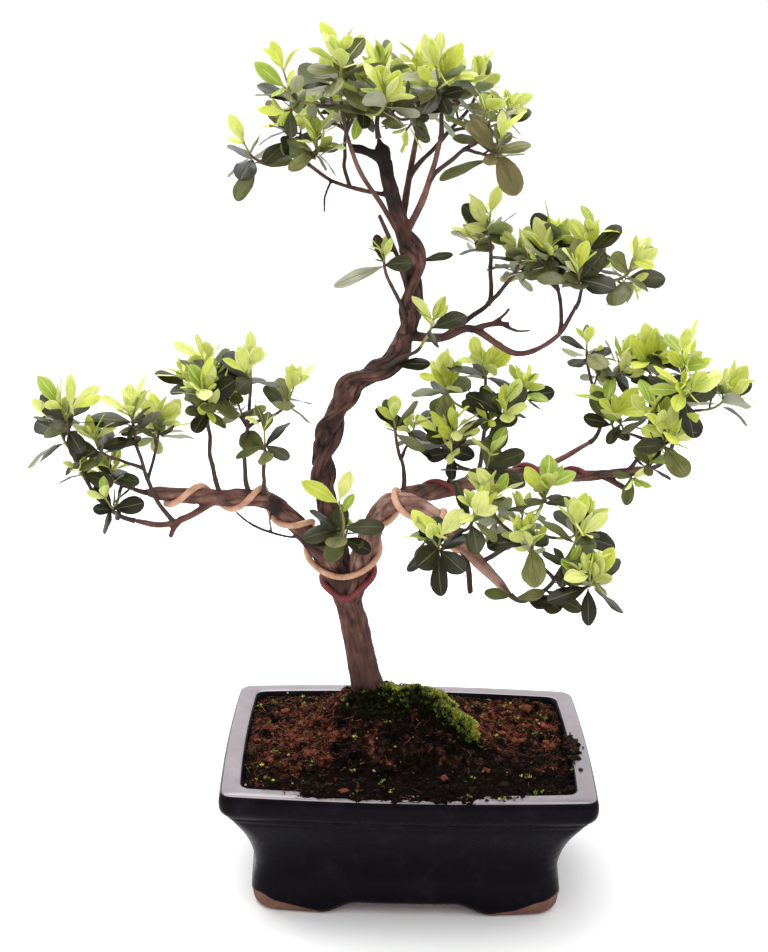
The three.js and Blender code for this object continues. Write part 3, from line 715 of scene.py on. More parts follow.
def make_pot():
    rings, glazed, lip, inside = pot_rings()
    count = len(rings[0])
    ring_of = np.repeat(np.arange(len(rings) - 1), count)
    tags = np.where((ring_of < glazed) | (ring_of > inside), BARE, GLAZED)
    # The rim's rounded edge and flat top take the pale colour of painted reflection
    tags[(ring_of >= lip) & (ring_of <= lip + 3)] = RIM_REFLECTION
    soup = Soup()
    soup.add(np.vstack(rings), grid_faces(len(rings), count, True), tags)
    # Middles of the underside and of the floor
    soup.hub(0, count, (0, 0, ARCH_HEIGHT), BARE, flip=True)
    soup.hub((len(rings) - 1) * count, count, (0, 0, POT_INSIDE[-1][0]), BARE)
    looks = [surface(name, *look, **sockets) for name, (*look, sockets) in POT_LOOKS.items()]
    pot = soup.piece("pot_glazed", "glaze", looks)
    for x in (-DRAIN_PLACE, DRAIN_PLACE):
        cut = Soup()
        cut.tube(np.array([[x, 0, z] for z in DRAIN_HEIGHTS], float), DRAIN_RADIUS, 32, BARE)
        bore = new_object("bore", raw_mesh("bore", np.vstack(cut.verts) * MM + SHIFT, cut.faces))
        for material in looks:
            bore.data.materials.append(material)
        cutter = pot.modifiers.new("drain", "BOOLEAN")
        cutter.object = bore
        cutter.operation = "DIFFERENCE"
        cutter.solver = "EXACT"
        bake(pot)
        bpy.data.objects.remove(bore)
    sharpen(pot, 50)
    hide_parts("pot")


# Soil: where it spills over the front rim, rings of its bed, its red patches, its looks from black to red
SPILL_MIDDLE = -4
SPILL_LEVEL = 78.3
SOIL_RINGS = 110
BED_RINGS = [(14.4, 26), (34, 24), (50, 18), (62, 14)]
RED_PATCHES = [(-62, -2, 30, 50), (62, 30, 34, 34)]
# Painted light and shade: each peat's noise runs from near-black to red-brown, partly the peat's own mottling
# and partly the lit and shaded sides of its clods
PEATS = {
    "peat_black_and_front_shade": [(0.42, (0.0022, 0.0016, 0.0014)), (0.6, (0.008, 0.0042, 0.0033)),
                   (0.76, (0.035, 0.014, 0.009))],
    "peat": [(0.38, (0.0028, 0.0018, 0.0015)), (0.52, (0.012, 0.0058, 0.0042)),
             (0.62, (0.042, 0.017, 0.0105)), (0.78, (0.12, 0.046, 0.028))],
    "peat_red": [(0.4, (0.003, 0.0015, 0.0012)), (0.52, (0.035, 0.011, 0.007)), (0.62, (0.15, 0.045, 0.028)),
                 (0.78, (0.36, 0.13, 0.085))],
}


def level_points(x, y):
    return np.column_stack([x, y, np.zeros(len(x))])


def soil_level(x, y):
    mx, my, height, reach = MOUND
    away = np.hypot(x - mx, y - my) / reach
    lumps = np.sin(x * 0.19 + 1) * np.cos(y * 0.23) + 0.7 * np.sin(x * 0.4 - y * 0.33)
    level = SOIL_EDGE + height * np.exp(-(away**3)) + 0.9 * lumps
    foot = smooth(1.25 - np.hypot(x - FOOT[0], y - FOOT[1]) / 24)
    level = mix(level, GROUND - 0.2, foot)
    spill = np.exp(-(((x - SPILL_MIDDLE) / 72) ** 4)) * smooth((-y - 46) / 14)
    return mix(level, SPILL_LEVEL, spill)


def soil_top(x, y):
    p = level_points(x, y)
    clumps = np.abs(rough(p * 0.17, 9, 2)) + 0.5 * np.abs(rough(p * 0.45, 13, 3))
    return soil_level(x, y) + 1.1 * rough(p * 0.13, 3, 2) + 2.1 * clumps - 1.3


def soil_edge():
    inner = outline(12.1, RIM_CORNER + 1)
    over = outline(1.7, RIM_CORNER)
    along_front = inner[:, 0] - SPILL_MIDDLE
    wide = 0.78 * np.exp(-((along_front / 74) ** 6))
    middle = 0.26 * np.exp(-((along_front / 55) ** 4))
    ragged = 0.9 + 0.18 * hash_noise(level_points(*inner.T) * 0.3, 21)
    return mix(inner, over, np.where(inner[:, 1] < 0, (wide + middle) * ragged, 0)[:, None])


def patch_at(x, y, middle_x, middle_y, across, along):
    """A round patch: 1 at its middle, fading to 0 over its reach across and along."""
    return np.exp(-(((x - middle_x) / across) ** 2) - ((y - middle_y) / along) ** 2)


def redness(p):
    """Share of red fibre in the peat: more at the left and at the right and back."""
    return np.clip(sum(patch_at(p[:, 0], p[:, 1], *patch) for patch in RED_PATCHES), 0, 1)


def make_soil():
    edge = soil_edge()
    count = len(edge)
    foot = np.array(FOOT, float)
    rim = foot + unit(edge - foot) * 5
    rings = [lifted(outline(inset + 0.5, BODY_CORNER), z) for z, inset in BED_RINGS]
    rings.append(lifted(outline(12.8, RIM_CORNER), SOIL_EDGE - 3.5))
    for s in np.linspace(0, 1, SOIL_RINGS):
        xy = mix(edge, rim, s)
        rings.append(lifted(xy, soil_top(*xy.T) - 1.2 * max(0, 1 - s * 25)))
    verts = np.vstack(rings)
    faces = grid_faces(len(rings), count, True)
    middle = verts[faces].mean(axis=1)
    patch = rough(middle * (0.11, 0.11, 0), 77, 4)
    # Black peat in patches at random, and along the front as painted shade
    black = (patch < -0.15) | (middle[:, 1] + 8 * patch < -26)
    tags = np.where(redness(middle) + 0.55 * patch > 0.55, 2, np.where(black, 0, 1))
    soup = Soup()
    soup.add(verts, faces, tags)
    soup.hub(0, count, rings[0].mean(axis=0), flip=True)
    soup.hub((len(rings) - 1) * count, count, rings[-1].mean(axis=0))
    looks = [surface(name, stops, 260, (0.9, 1.0), 0.9, 3, Specular_IOR_Level=0.02)
             for name, stops in PEATS.items()]
    soil = soup.piece("soil_bed", "soil", looks)
    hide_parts("soil")
    return edge


def ball(fine=False):
    """A round lump as vertices and faces, coarse or fine."""
    g = (1 + 5**0.5) / 2
    flat = [(a, b) for b in (g, -g) for a in (-1, 1)]
    corners = [(a, b, 0) for a, b in flat] + [(0, a, b) for a, b in flat] + [(b, 0, a) for a, b in flat]
    faces = [(0, 11, 5), (0, 5, 1), (0, 1, 7), (0, 7, 10), (0, 10, 11), (1, 5, 9), (5, 11, 4), (11, 10, 2),
             (10, 7, 6), (7, 1, 8), (3, 9, 4), (3, 4, 2), (3, 2, 6), (3, 6, 8), (3, 8, 9), (4, 9, 5),
             (2, 4, 11), (6, 2, 10), (8, 6, 7), (9, 8, 1)]
    verts = [tuple(p) for p in unit(np.array(corners, float))]
    if fine:
        middle = {}

        def between(a, b):
            key = (min(a, b), max(a, b))
            if key not in middle:
                middle[key] = len(verts)
                verts.append(tuple(unit(np.array(verts[a]) + np.array(verts[b]))))
            return middle[key]

        split = []
        for a, b, c in faces:
            ab, bc, ca = between(a, b), between(b, c), between(c, a)
            split += [(a, ab, ca), (ab, b, bc), (ca, bc, c), (ab, bc, ca)]
        faces = split
    return np.array(verts), np.array(faces)


def on_soil(rng, edge, count):
    """Places spread over the soil."""
    j = rng.integers(0, len(edge), count)
    s = 1 - np.sqrt(rng.random(count))
    xy = mix(edge[j], np.array(FOOT, float), (s * 0.97)[:, None])
    return lifted(xy, soil_top(*xy.T))


def lumps(soup, rng, places, size, tags, squash=0.7, fine=False):
    shape, faces = ball(fine)
    for p, r, tag in zip(places, size, tags):
        turn = np.linalg.qr(rng.normal(size=(3, 3)))[0]
        v = shape * (1 + 0.7 * rough(shape * 1.5 + rng.uniform(0, 90, 3), 61, 2))[:, None] @ turn * r
        soup.add(p + v * (1, 1, squash), faces, tag)


# Clods that show against the far rim: place, radius and kind
LARGE_CLODS = [
    (4, 29, 3.4, 3), (13, 35, 2.3, 1), (35, 38, 2.6, 3), (46, 43, 2.2, 2), (55, 46, 3.0, 1), (71, 45, 2.4, 3),
    (84, 38, 2.0, 2), (-60, 42, 2.5, 3), (-76, 32, 2.0, 2), (-47, 48, 2.3, 1), (-70, -34, 2.4, 2),
    (62, 8, 2.6, 3),
]
# How many of each lie on the bed, on the right rim and along the front lip
CLODS = 260
CRUMBS = 4200
SIDE_CRUMBS = 80
FRONT_CRUMBS = 70
GRAINS = 22
FIBRES = 5200
GRAIN_SCALE = 300
CRUMB_LOOKS = {
    "crumb_black": ((0.006, 0.004, 0.003), 0.4),
    "crumb_dark": ((0.018, 0.01, 0.007), 0.4),
    "crumb_brown": ((0.036, 0.02, 0.012), 0.35),
    "crumb_red": ((0.15, 0.045, 0.027), 0.5),
}
FIBRE_LOOKS = {
    "fibre_red": ((0.25, 0.08, 0.048), 0.45, 0.75),
    "fibre_dark": ((0.012, 0.0065, 0.005), 0.35, 0.75),
    "fibre_brown": ((0.055, 0.028, 0.017), 0.4, 0.75),
    "fibre_straw": ((0.36, 0.25, 0.12), 0.3, 0.7),
}


def make_crumbs(edge):
    rng = np.random.default_rng(11)
    kinds = [tinted(name, colour, vary, GRAIN_SCALE, (0.9, 1), 0.5, Specular_IOR_Level=0.04)
             for name, (colour, vary) in CRUMB_LOOKS.items()]

    def deal(places):
        red = redness(places)
        pick = rng.random(len(places))
        brown = np.where(pick < 0.45, 0, np.where(pick < 0.8, 1, 2))
        return np.where(rng.random(len(places)) < 0.03 + 0.4 * red, 3, brown)

    # Clods, bedded in the peat
    soup = Soup()
    places = on_soil(rng, edge, CLODS)
    places[:, 2] -= 0.6
    lumps(soup, rng, places, rng.uniform(0.9, 2.8, CLODS), deal(places), 0.6, fine=True)
    x, y, size, kind = np.array(LARGE_CLODS, float).T
    places = np.column_stack([x, y, soil_top(x, y) + 0.3 * size])
    lumps(soup, rng, places, size, kind.astype(int), 0.75, fine=True)
    soup.piece("soil_clods", "soil", kinds)
    # Crumbs over the bed, on the right rim and along the front lip
    soup = Soup()
    places = on_soil(rng, edge, CRUMBS)
    lumps(soup, rng, places, rng.uniform(0.2, 0.65, CRUMBS), deal(places))
    n = SIDE_CRUMBS
    side = np.column_stack([rng.normal(91.5, 2.2, n), rng.normal(-8, 9, n), np.full(n, 77.5)])
    lumps(soup, rng, side, rng.uniform(0.5, 2.0, n), rng.choice(3, n))
    n = FRONT_CRUMBS
    front = np.column_stack([rng.uniform(-60, 60, n), rng.normal(-68, 1.6, n), np.full(n, 77.3)])
    lumps(soup, rng, front, rng.uniform(0.3, 1.1, n), rng.choice(2, n))
    soup.piece("soil_crumbs", "soil", kinds)
    # Pale grit
    soup = Soup()
    places = on_soil(rng, edge, GRAINS)
    lumps(soup, rng, places + (0, 0, 0.3), rng.uniform(0.4, 0.9, GRAINS), np.zeros(GRAINS, int), 0.8)
    soup.piece("soil_grit", "soil", [tinted("grit", (0.38, 0.32, 0.27), 0.25, GRAIN_SCALE, (0.7, 0.9), 0.4)])
    # Fibres
    soup = Soup()
    places = on_soil(rng, edge, FIBRES)
    for p, red in zip(places, redness(places)):
        fibre(soup, rng, p, red)
    looks = [tinted(name, colour, vary, GRAIN_SCALE, (smoothest, 0.9), 0, Specular_IOR_Level=0.1)
             for name, (colour, vary, smoothest) in FIBRE_LOOKS.items()]
    soup.piece("soil_fibres", "soil", looks)


def fibre(soup, rng, p, red):
    """One curved fibre that lies on the bed, redder where the peat is red, redder and paler towards the back as
    painted light and dark at the front as painted shade.
    """
    heading = rng.uniform(0, 2 * math.pi)
    length = rng.uniform(2, 7)
    bend = rng.normal(0, 1.1)
    t = np.linspace(-0.5, 0.5, 5)
    angle = heading + bend * t + 0.5 * np.sin(t * 9 + heading)
    step = np.column_stack([np.cos(angle), np.sin(angle)]) * length / 4
    xy = p[:2] + np.cumsum(step, axis=0) - step.sum(axis=0) / 2
    tilt = rng.normal(0, 0.28)
    ground = mix(soil_level(*xy.T), p[2], 0.7)
    z = ground + 0.4 + tilt * length * t + rng.uniform(0, 1) * (0.25 - t**2)
    # Painted light: fibres towards the back are lit, those at the front in painted shade
    lit = smooth((p[1] + 45) / 40)
    tag = 0 if rng.random() < (0.12 + 0.5 * red) * (0.3 + 0.7 * lit) else 1
    if tag and rng.random() < 0.5 * lit:
        tag = 3 if rng.random() < 0.12 else 2
    soup.tube(lifted(xy, z), rng.uniform(0.05, 0.13), 3, tag)


# Moss: its field across and along, a painted pool of light by the trunk's foot, tufts, sprigs, and looks from
# the bed to the tips, whose lit and shaded ones paint light and shade
MOSS_FIELD = ((-44, 46), (-14, 30))
MOSS_GRID = (150, 80)
LIT_FOOT = (-7, 17, 7, 7)
MOSS_TUFTS = 15000
SPRIGS = 120
TUFT_BLADES = 6
MOSS_LOOKS = {
    "moss_lit": ((0.02, 0.026, 0.007), 0.6, (0.9, 1), 0.8, dict(Specular_IOR_Level=0.05)),
    "moss_shade": ((0.0065, 0.005, 0.0025), 0.5, (0.9, 1), 0.8, dict(Specular_IOR_Level=0.02)),
    "moss_lime": ((0.5, 0.51, 0.07), 0.3, (0.8, 0.95), 0, {}),
    "moss_green": ((0.16, 0.2, 0.03), 0.3, (0.8, 0.95), 0, {}),
    "moss_deep": ((0.016, 0.019, 0.006), 0.4, (0.8, 0.95), 0, dict(Specular_IOR_Level=0.1)),
}


def moss_height(x, y):
    """Moss on the soil: a ridge beside the trunk, a low cushion before its foot, and how much painted light
    falls on it: more towards one side and end of the ridge and by the trunk's foot, painted shade on the
    cushion.
    """
    mx, my, length, width, height, turn = MOSS
    a = ((x - mx) * math.cos(turn) + (y - my) * math.sin(turn)) / length
    b = ((y - my) * math.cos(turn) - (x - mx) * math.sin(turn)) / width
    ragged = 0.36 * rough(level_points(x, y) * 0.19, 37, 3)
    ridge = height * np.clip(1 + ragged - a**2 - b**2, 0, 1) ** 0.6
    cushion = 3.4 * np.clip(1 + ragged - ((x + 15) / 23) ** 2 - ((y - 8) / 17) ** 2, 0, 1) ** 0.6
    foot = 1.1 * patch_at(x, y, *LIT_FOOT)
    return np.maximum(ridge, cushion), np.where(ridge > cushion, 0.35 + 0.7 * b + 0.55 * a, -0.2) + foot


def make_moss(edge):
    rng = np.random.default_rng(23)
    soup = Soup()
    steps = [np.linspace(*reach, count) for reach, count in zip(MOSS_FIELD, MOSS_GRID)]
    x, y = (m.ravel() for m in np.meshgrid(*steps, indexing="ij"))
    rise, light = moss_height(x, y)
    p = level_points(x, y)
    bumps = 1.9 * rough(p * 0.2, 31) + 1.1 * np.abs(rough(p * 0.5, 33, 2)) - 0.1
    top = np.column_stack([x, y, soil_level(x, y) + np.where(rise > 0, rise * 0.8 + bumps, -1.5)])
    faces = grid_faces(*MOSS_GRID, False)[:, ::-1]
    keep = (rise[faces] > 0).any(axis=1)
    # Faces of the ridge in painted light get the lit moss, the rest painted shade
    soup.add(top, faces[keep], np.where(light[faces[keep]].mean(axis=1) > 0.6, 0, 1))
    looks = [tinted(name, colour, vary, GRAIN_SCALE, roughness, bump, **sockets)
             for name, (colour, vary, roughness, bump, sockets) in MOSS_LOOKS.items()]
    x, y = (rng.uniform(*reach, MOSS_TUFTS) for reach in MOSS_FIELD)
    rise, light = moss_height(x, y)
    p = level_points(x, y)
    patch = rough(p * 0.2, 31)
    light = light + 0.35 * patch + 0.45 * hash_noise(p * 0.55, 35) + rng.normal(0, 0.2, MOSS_TUFTS)
    keep = (rise > 0.5) & (rng.random(MOSS_TUFTS) < np.clip(light + 0.1, 0.07, 0.8))
    p[:, 2] = soil_level(x, y) + rise * 0.8 + 1.9 * patch + 0.3
    for place, bright in zip(p[keep], light[keep]):
        # Tufts in painted light are lime, half-lit ones green, and those in painted shade deep green
        tag = 2 if bright > 0.85 else 3 if bright > 0.5 else 4
        tuft(soup, rng, place, rng.uniform(1.0, 3.2), tag)
    moss = soup.piece("moss_cushion", "moss", looks)
    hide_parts("moss")
    # Sprigs strewn over the bed
    soup = Soup()
    for p in on_soil(rng, edge, SPRIGS):
        for _ in range(rng.integers(1, 6)):
            spot = p + np.array([*rng.normal(0, 1.6, 2), 0.3])
            tuft(soup, rng, spot, rng.uniform(0.9, 2.0), rng.choice([0, 1, 2], p=[0.15, 0.35, 0.5]))
    soup.piece("moss_sprigs", "moss", looks[2:])


def tuft(soup, rng, place, size, tag):
    turn = rng.uniform(0, 2 * math.pi) + np.arange(TUFT_BLADES) * GOLDEN_ANGLE
    lean = rng.uniform(0.3, 1.1, TUFT_BLADES)
    out = np.column_stack([np.cos(turn) * np.sin(lean), np.sin(turn) * np.sin(lean), np.cos(lean)])
    side = level_points(-np.sin(turn), np.cos(turn))
    mid = place + out * size * 0.45
    verts = np.stack([place + side * 0.1, mid + side * 0.42, place + out * size, mid - side * 0.42], axis=1)
    soup.add(verts.reshape(-1, 3), np.arange(TUFT_BLADES * 4).reshape(-1, 4), tag)


# Wood
CURVES = {name: catmull(limb[1]) for name, limb in LIMBS.items()}
# Bare twigs and cut stubs: places and radius at base and end
STUBS = [
    ([(-5, 8, 326), (-12, -1, 349), (-22, -5, 371)], 1.6, 1.1),
    ([(-15, -2, 352), (-22, -3, 352), (-27, -4, 354)], 0.7, 0.5),
    ([(-20, 5, 398), (-28, 3, 401.5), (-37, 1, 404)], 2.6, 2.3),
    ([(20, -41, 214), (27, -49, 199), (29, -50, 184)], 1.8, 1.5),
    ([(108, 74, 213), (118, 74, 208), (126, 72, 204)], 1.9, 1.7),
    ([(-124, -9, 208), (-128, -11, 203), (-130, -12, 198)], 1.7, 1.3),
    ([(-56, 14, 190), (-72, 10, 193), (-88, 2, 202), (-100, -2, 214)], 0.9, 0.7),
    ([(-77, 8, 195), (-78, 6, 204), (-76, 3, 214)], 0.7, 0.6),
    ([(27, 7, 310), (38, 4, 314), (47, 0, 315)], 1.8, 1.4),
    ([(38, 4, 314), (44, 3, 319), (47, 2, 323)], 1.1, 0.8),
    ([(42, 2, 315), (51, -2, 312), (58, -5, 313)], 1.1, 0.7),
    ([(-47, 11, 386), (-50, 6, 378), (-50, 2, 371)], 0.8, 0.6),
    ([(-38, 20, 268), (-43, 13, 277), (-40, 10, 283)], 0.9, 0.5),
]
# Lightness of the bark: by limb, and by height on the trunk from pale foot to dark leader, with its lowest end
# darkened as painted shade where it meets the moss
BARK_TINTS = {
    "left": 0.54, "left_low": 0.4, "right": 0.8, "right_back": 0.45, "right_rise": 0.45, "upper": 0.34,
    "upper_rise": 0.3, "top_left": 0.34, "top_side": 0.3, "top_right": 0.5, "top_back": 0.4,
}
TRUNK_TINTS = [
    (88, 0.16), (102, 0.36), (122, 0.48), (155, 0.45), (190, 0.17), (240, 0.22), (272, 0.56), (300, 0.42),
    (340, 0.4), (365, 0.28), (390, 0.02), (405, -0.12),
]
STRAND_TINT = 0.36
STUB_TINT = 0.25
TINT_FADE = 48
# Depth of the twist in the wood: of thick limbs and of strands, and where the trunk's begins and ends
LIMB_ROPE = 0.45
STRAND_ROPE = 0.6
ROPE_START = 60
ROPE_END = 0.82
THICK_LIMB = 4
# Ends of limbs: how far back they taper, the leader's share of its radius and the least radius there
TAPER = 7
LEADER_END = 0.3
LEAST_END = 1.35
WOOD_PITCH = 0.8
TRUNK_SIDES = 40
LIMB_SIDES = 18
STRAND_STEPS = 400
STUB_STEPS = 40
# Each limb's grain starts this much further on in the noise
NEXT_LIMB = 57.0
# The foot is smoother than the rest, and the leader's end is torn
SMOOTH_BELOW = (150, 40)
TORN_ABOVE = (382, 14)
# Furrows between the strands: half their count, twist to the millimetre, wander, depth and the painted shade
# laid in them
FURROWS = 2.5
FURROW_TWIST = 0.07
FURROW_WANDER = 0.7
FURROW_DEPTH = 0.16
FURROW_PAINTED_SHADE = 0.28
# Grain that the bark's streaks follow: its twist and stretch along the limb
GRAIN_TWIST = 0.006
GRAIN_STRETCH = 0.2
BARK_STREAKS = [
    (0.25, (0.6, 0.57, 0.58)), (0.45, (0.88, 0.86, 0.85)), (0.6, (1.04, 1.01, 0.99)),
    (0.8, (1.35, 1.4, 1.44)),
]
BARK_STOPS = [
    (0.0, (0.011, 0.007, 0.007)), (0.25, (0.038, 0.02, 0.018)), (0.5, (0.112, 0.052, 0.043)),
    (0.75, (0.215, 0.108, 0.085)), (1.0, (0.42, 0.27, 0.215)),
]
PATCH_SCALE = 95
PATCH_DETAIL = 3
PATCH_SHIFT = (0.7, -0.35)


def limb_radius(name, u):
    return along(LIMBS[name][2], u)


def beside(name, u, angle, away):
    sides = square_to(CURVES[name].heading(u), RIGHT if name == "trunk" else UP)
    return CURVES[name].at(u) + around(sides, angle) * away


def strand_points(strand):
    """A strand that winds about the trunk, and may stand off it in one loop."""
    steps = strand["steps"]
    ease = steps // 4
    rows = []
    for i in range(steps + 1):
        u = mix(strand["start"], strand["end"], i / steps)
        ends = min(1, i / ease, (steps - i) / ease)
        loop = strand["off"] * math.exp(-(((u - strand["zero"]) / LOOP_WIDTH) ** 2))
        turns = strand["turns"] * (u - strand["zero"]) / (strand["end"] - strand["start"]) + strand["ahead"]
        away = ends * (limb_radius("trunk", u) + strand["gap"]) + loop
        rows.append(beside("trunk", u, 2 * math.pi * turns, away))
    return np.array(rows)


def trunk_tint(points):
    return np.interp(points[..., 2], *np.array(TRUNK_TINTS).T)


def wood_samples():
    """Points along every limb with radius, lightness and depth of the strands that twist round it."""
    rows = []
    for name, (parent, _, _) in LIMBS.items():
        curve = CURVES[name]
        u = np.linspace(0, 1, int(curve.length / WOOD_PITCH) + 1)
        points = curve.at(u)
        run = u * curve.length
        radius = limb_radius(name, u)
        if parent:
            begin = trunk_tint(points[0]) if parent == "trunk" else BARK_TINTS[parent]
            tint = mix(begin, BARK_TINTS[name], smooth(run / TINT_FADE))
            end = min(1, max(LEAST_END, 0.6 * radius[-1]) / radius[-1])
        else:
            tint = trunk_tint(points)
            end = LEADER_END
        radius = radius * mix(1, end, smooth(1 - (1 - u) * curve.length / TAPER))
        if parent is None:
            rope = 1 - smooth((u - ROPE_END) / 0.1)
            run = run - ROPE_START
        else:
            rope = LIMB_ROPE if radius[0] > THICK_LIMB else 0.0
        rows.append((points, radius, tint, rope * smooth(run / 25)))
    for strand in STRANDS:
        path = Path(strand_points(strand), STRAND_STEPS)
        u = np.linspace(0, 1, STRAND_STEPS + 1)
        inward = np.minimum(u, 1 - u)
        tint = mix(trunk_tint(path.points), STRAND_TINT, smooth(inward * 5))
        radius = along(strand["radius"], u) * mix(0.6, 1, np.minimum(1, inward * 12))
        rows.append((path.points, radius, tint, np.full(len(u), STRAND_ROPE)))
    for places, r0, r1 in STUBS:
        u = np.linspace(0, 1, STUB_STEPS)
        points = catmull(places).at(u)
        rows.append((points, mix(r0, r1, u), np.minimum(trunk_tint(points), STUB_TINT), np.zeros(STUB_STEPS)))
    return rows


def joined_wood(samples):
    """Limbs, strands and stubs grown into one skin: its vertices, normals and faces."""
    soup = Soup()
    trunk, *others = samples
    run = np.arange(len(trunk[0])) / (len(trunk[0]) - 1) * CURVES["trunk"].length
    angle = np.arange(TRUNK_SIDES) * 2 * math.pi / TRUNK_SIDES
    lobes = FLARE["spread"] + FLARE["lobe"] * np.cos(FLARE["roots"] * angle)
    flare = 1 + np.exp(-run / FLARE["fade"])[:, None] * lobes
    soup.tube(trunk[0], trunk[1][:, None] * flare, TRUNK_SIDES)
    for points, radius, _, _ in others:
        soup.tube(points, radius, LIMB_SIDES)
    block = new_object("block", raw_mesh("block", np.vstack(soup.verts), soup.faces))
    join = block.modifiers.new("join", "REMESH")
    join.mode = "VOXEL"
    join.voxel_size = WOOD_GRID
    ease = block.modifiers.new("ease", "SMOOTH")
    ease.factor = 0.5
    ease.iterations = 3
    bake(block)
    verts, normals = (read(block.data.vertices, key, np.float32, 3).astype(float) for key in ("co", "normal"))
    quads = read(block.data.loops, "vertex_index", np.int32, 1).reshape(-1, 4)
    bpy.data.objects.remove(block)
    return verts, normals, quads


def make_wood():
    samples = wood_samples()
    verts, normals, quads = joined_wood(samples)
    # Where each vertex lies on its limb gives the bark its grain
    rows = []
    for k, (points, radius, tint, rope) in enumerate(samples):
        _, side, other = frames_along(points)
        run = np.concatenate([[0], np.cumsum(np.linalg.norm(np.diff(points, axis=0), axis=1))])
        rows.append(np.column_stack([points, side, other, radius, run + NEXT_LIMB * k, tint, rope]))
    rows = np.vstack(rows)
    tree = KDTree(len(rows))
    for k, row in enumerate(rows):
        tree.insert(row[:3], k)
    tree.balance()
    near = rows[[tree.find(v)[1] for v in verts]]
    off = verts - near[:, :3]
    angle = np.arctan2((off * near[:, 6:9]).sum(axis=1), (off * near[:, 3:6]).sum(axis=1))
    radius, run, tint, rope = near[:, 9:13].T
    wander = FURROW_WANDER * hash_noise(verts * 0.05, 67)
    furrow = (1 - np.abs(np.sin(FURROWS * (angle + run * FURROW_TWIST + wander)))) ** 2
    furrow = furrow * blurred(rope, quads, 10)
    # Painted shade darkens the furrows
    tint = blurred(tint, quads, 14) - FURROW_PAINTED_SHADE * furrow
    turn = angle + run * GRAIN_TWIST
    grain = np.column_stack([np.cos(turn) * radius, np.sin(turn) * radius, run * GRAIN_STRETCH])
    low = smooth((SMOOTH_BELOW[0] - verts[:, 2]) / SMOOTH_BELOW[1])
    torn = smooth((verts[:, 2] - TORN_ABOVE[0]) / TORN_ABOVE[1]) * smooth((radius - 1.8) / 0.5)
    deep = np.clip(radius * 0.1, 0.1, 0.7) * (1 - 0.45 * low + 1.6 * torn)
    relief = rough(grain * (0.42, 0.42, 0.4), 41, 3) - 0.8 * np.abs(hash_noise(grain * (0.85, 0.85, 0.5), 47))
    knots = hash_noise(verts * 0.09, 53) + 0.7 * hash_noise(verts * 0.22, 59)
    raised = deep * (relief + 0.2 + knots) + FURROW_DEPTH * radius * (0.35 * rope - furrow)
    verts = verts + normals * raised[:, None]
    # Painted shade: hollows are darker than ridges
    eased = np.column_stack([blurred(verts[:, k], quads, 9) for k in range(3)])
    hollow_shade = np.clip(0.55 * ((eased - verts) * normals).sum(axis=1), -0.2, 0.4)
    tint = tint - (1 - 0.4 * low) * hollow_shade
    tint = tint + 0.14 * knots * (1 - low) * (1 - torn)
    wood = piece("wood", verts, [(quads, np.zeros(len(quads), int))], [make_bark()])
    mark(wood, "grain", "FLOAT_VECTOR", "vector", grain)
    mark(wood, "tint", "FLOAT", "value", tint)
    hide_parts(*WOOD_NODES)


def mark(obj, name, kind, key, values):
    """Keeps values at the vertices for the material to read."""
    layer = obj.data.attributes.new(name, kind, "POINT")
    layer.data.foreach_set(key, values.astype(np.float32).ravel())


def blurred(values, quads, rounds):
    """Values at vertices, eased into their neighbours' along the edges."""
    ends = np.vstack([quads[:, [k, (k + 1) % 4]] for k in range(4)])
    count = np.bincount(ends[:, 0], minlength=len(values)).clip(1)
    for _ in range(rounds):
        values = (values + np.bincount(ends[:, 0], values[ends[:, 1]], len(values)) / count) / 2
    return values


def read(items, key, kind, width):
    """One value or vector of every item, in rows."""
    values = np.empty(len(items) * width, kind)
    items.foreach_get(key, values)
    return values.reshape(-1, width)


def make_bark():
    """Bark in long streaks: its lightness follows the limb, with redder and greyer patches."""
    material = surface("bark", BARK_STREAKS, 0.5, (0.75, 0.95), 0.6, 3.5, attribute="grain",
                       Specular_IOR_Level=0.3)
    tree = material.node_tree
    colour = tree.nodes["Principled BSDF"].inputs["Base Color"]
    streaks = colour.links[0].from_socket
    tint = add_node(tree, "Attribute", attribute_name="tint").outputs["Fac"]
    place = add_node(tree, "TexCoord").outputs["Object"]
    patches = add_node(tree, "TexNoise", {"Vector": place, "Scale": PATCH_SCALE, "Detail": PATCH_DETAIL})
    shift = add_node(tree, "Math", {0: patches.outputs["Fac"], 1: PATCH_SHIFT[0], 2: PATCH_SHIFT[1]},
                     operation="MULTIPLY_ADD")
    lightness = add_node(tree, "Math", {0: tint, 1: shift.outputs["Value"]}, operation="ADD")
    shade = colour_ramp(tree, lightness.outputs["Value"], BARK_STOPS)
    blend = add_node(tree, "Mix", {"Factor": 1, "A": shade, "B": streaks}, data_type="RGBA",
                     blend_type="MULTIPLY")
    plug(tree, colour, blend.outputs["Result"])
    return material


# Wires: looks, seat on the limb as a share of radius, degrees to a step, and rounds of drawing tight
WIRE_LOOKS = {
    "tan": [(0.3, (0.4, 0.19, 0.115)), (0.5, (0.58, 0.31, 0.2)), (0.75, (0.74, 0.46, 0.33))],
    "red": [(0.3, (0.1, 0.014, 0.017)), (0.55, (0.2, 0.032, 0.034)), (0.8, (0.3, 0.07, 0.062))],
}
WIRE_SEAT = 0.85
WIRE_TURN = 30
WIRE_ROUNDS = 70
WIRE_SIDES = 14
THICK_WIRE = {"wire_red_fork": 1.3}
LIMB_STEPS = np.linspace(0, 1, 120)
LIMB_PLACES = np.vstack([CURVES[n].at(LIMB_STEPS) for n in LIMBS])
LIMB_RADII = np.concatenate([limb_radius(n, LIMB_STEPS) for n in LIMBS])


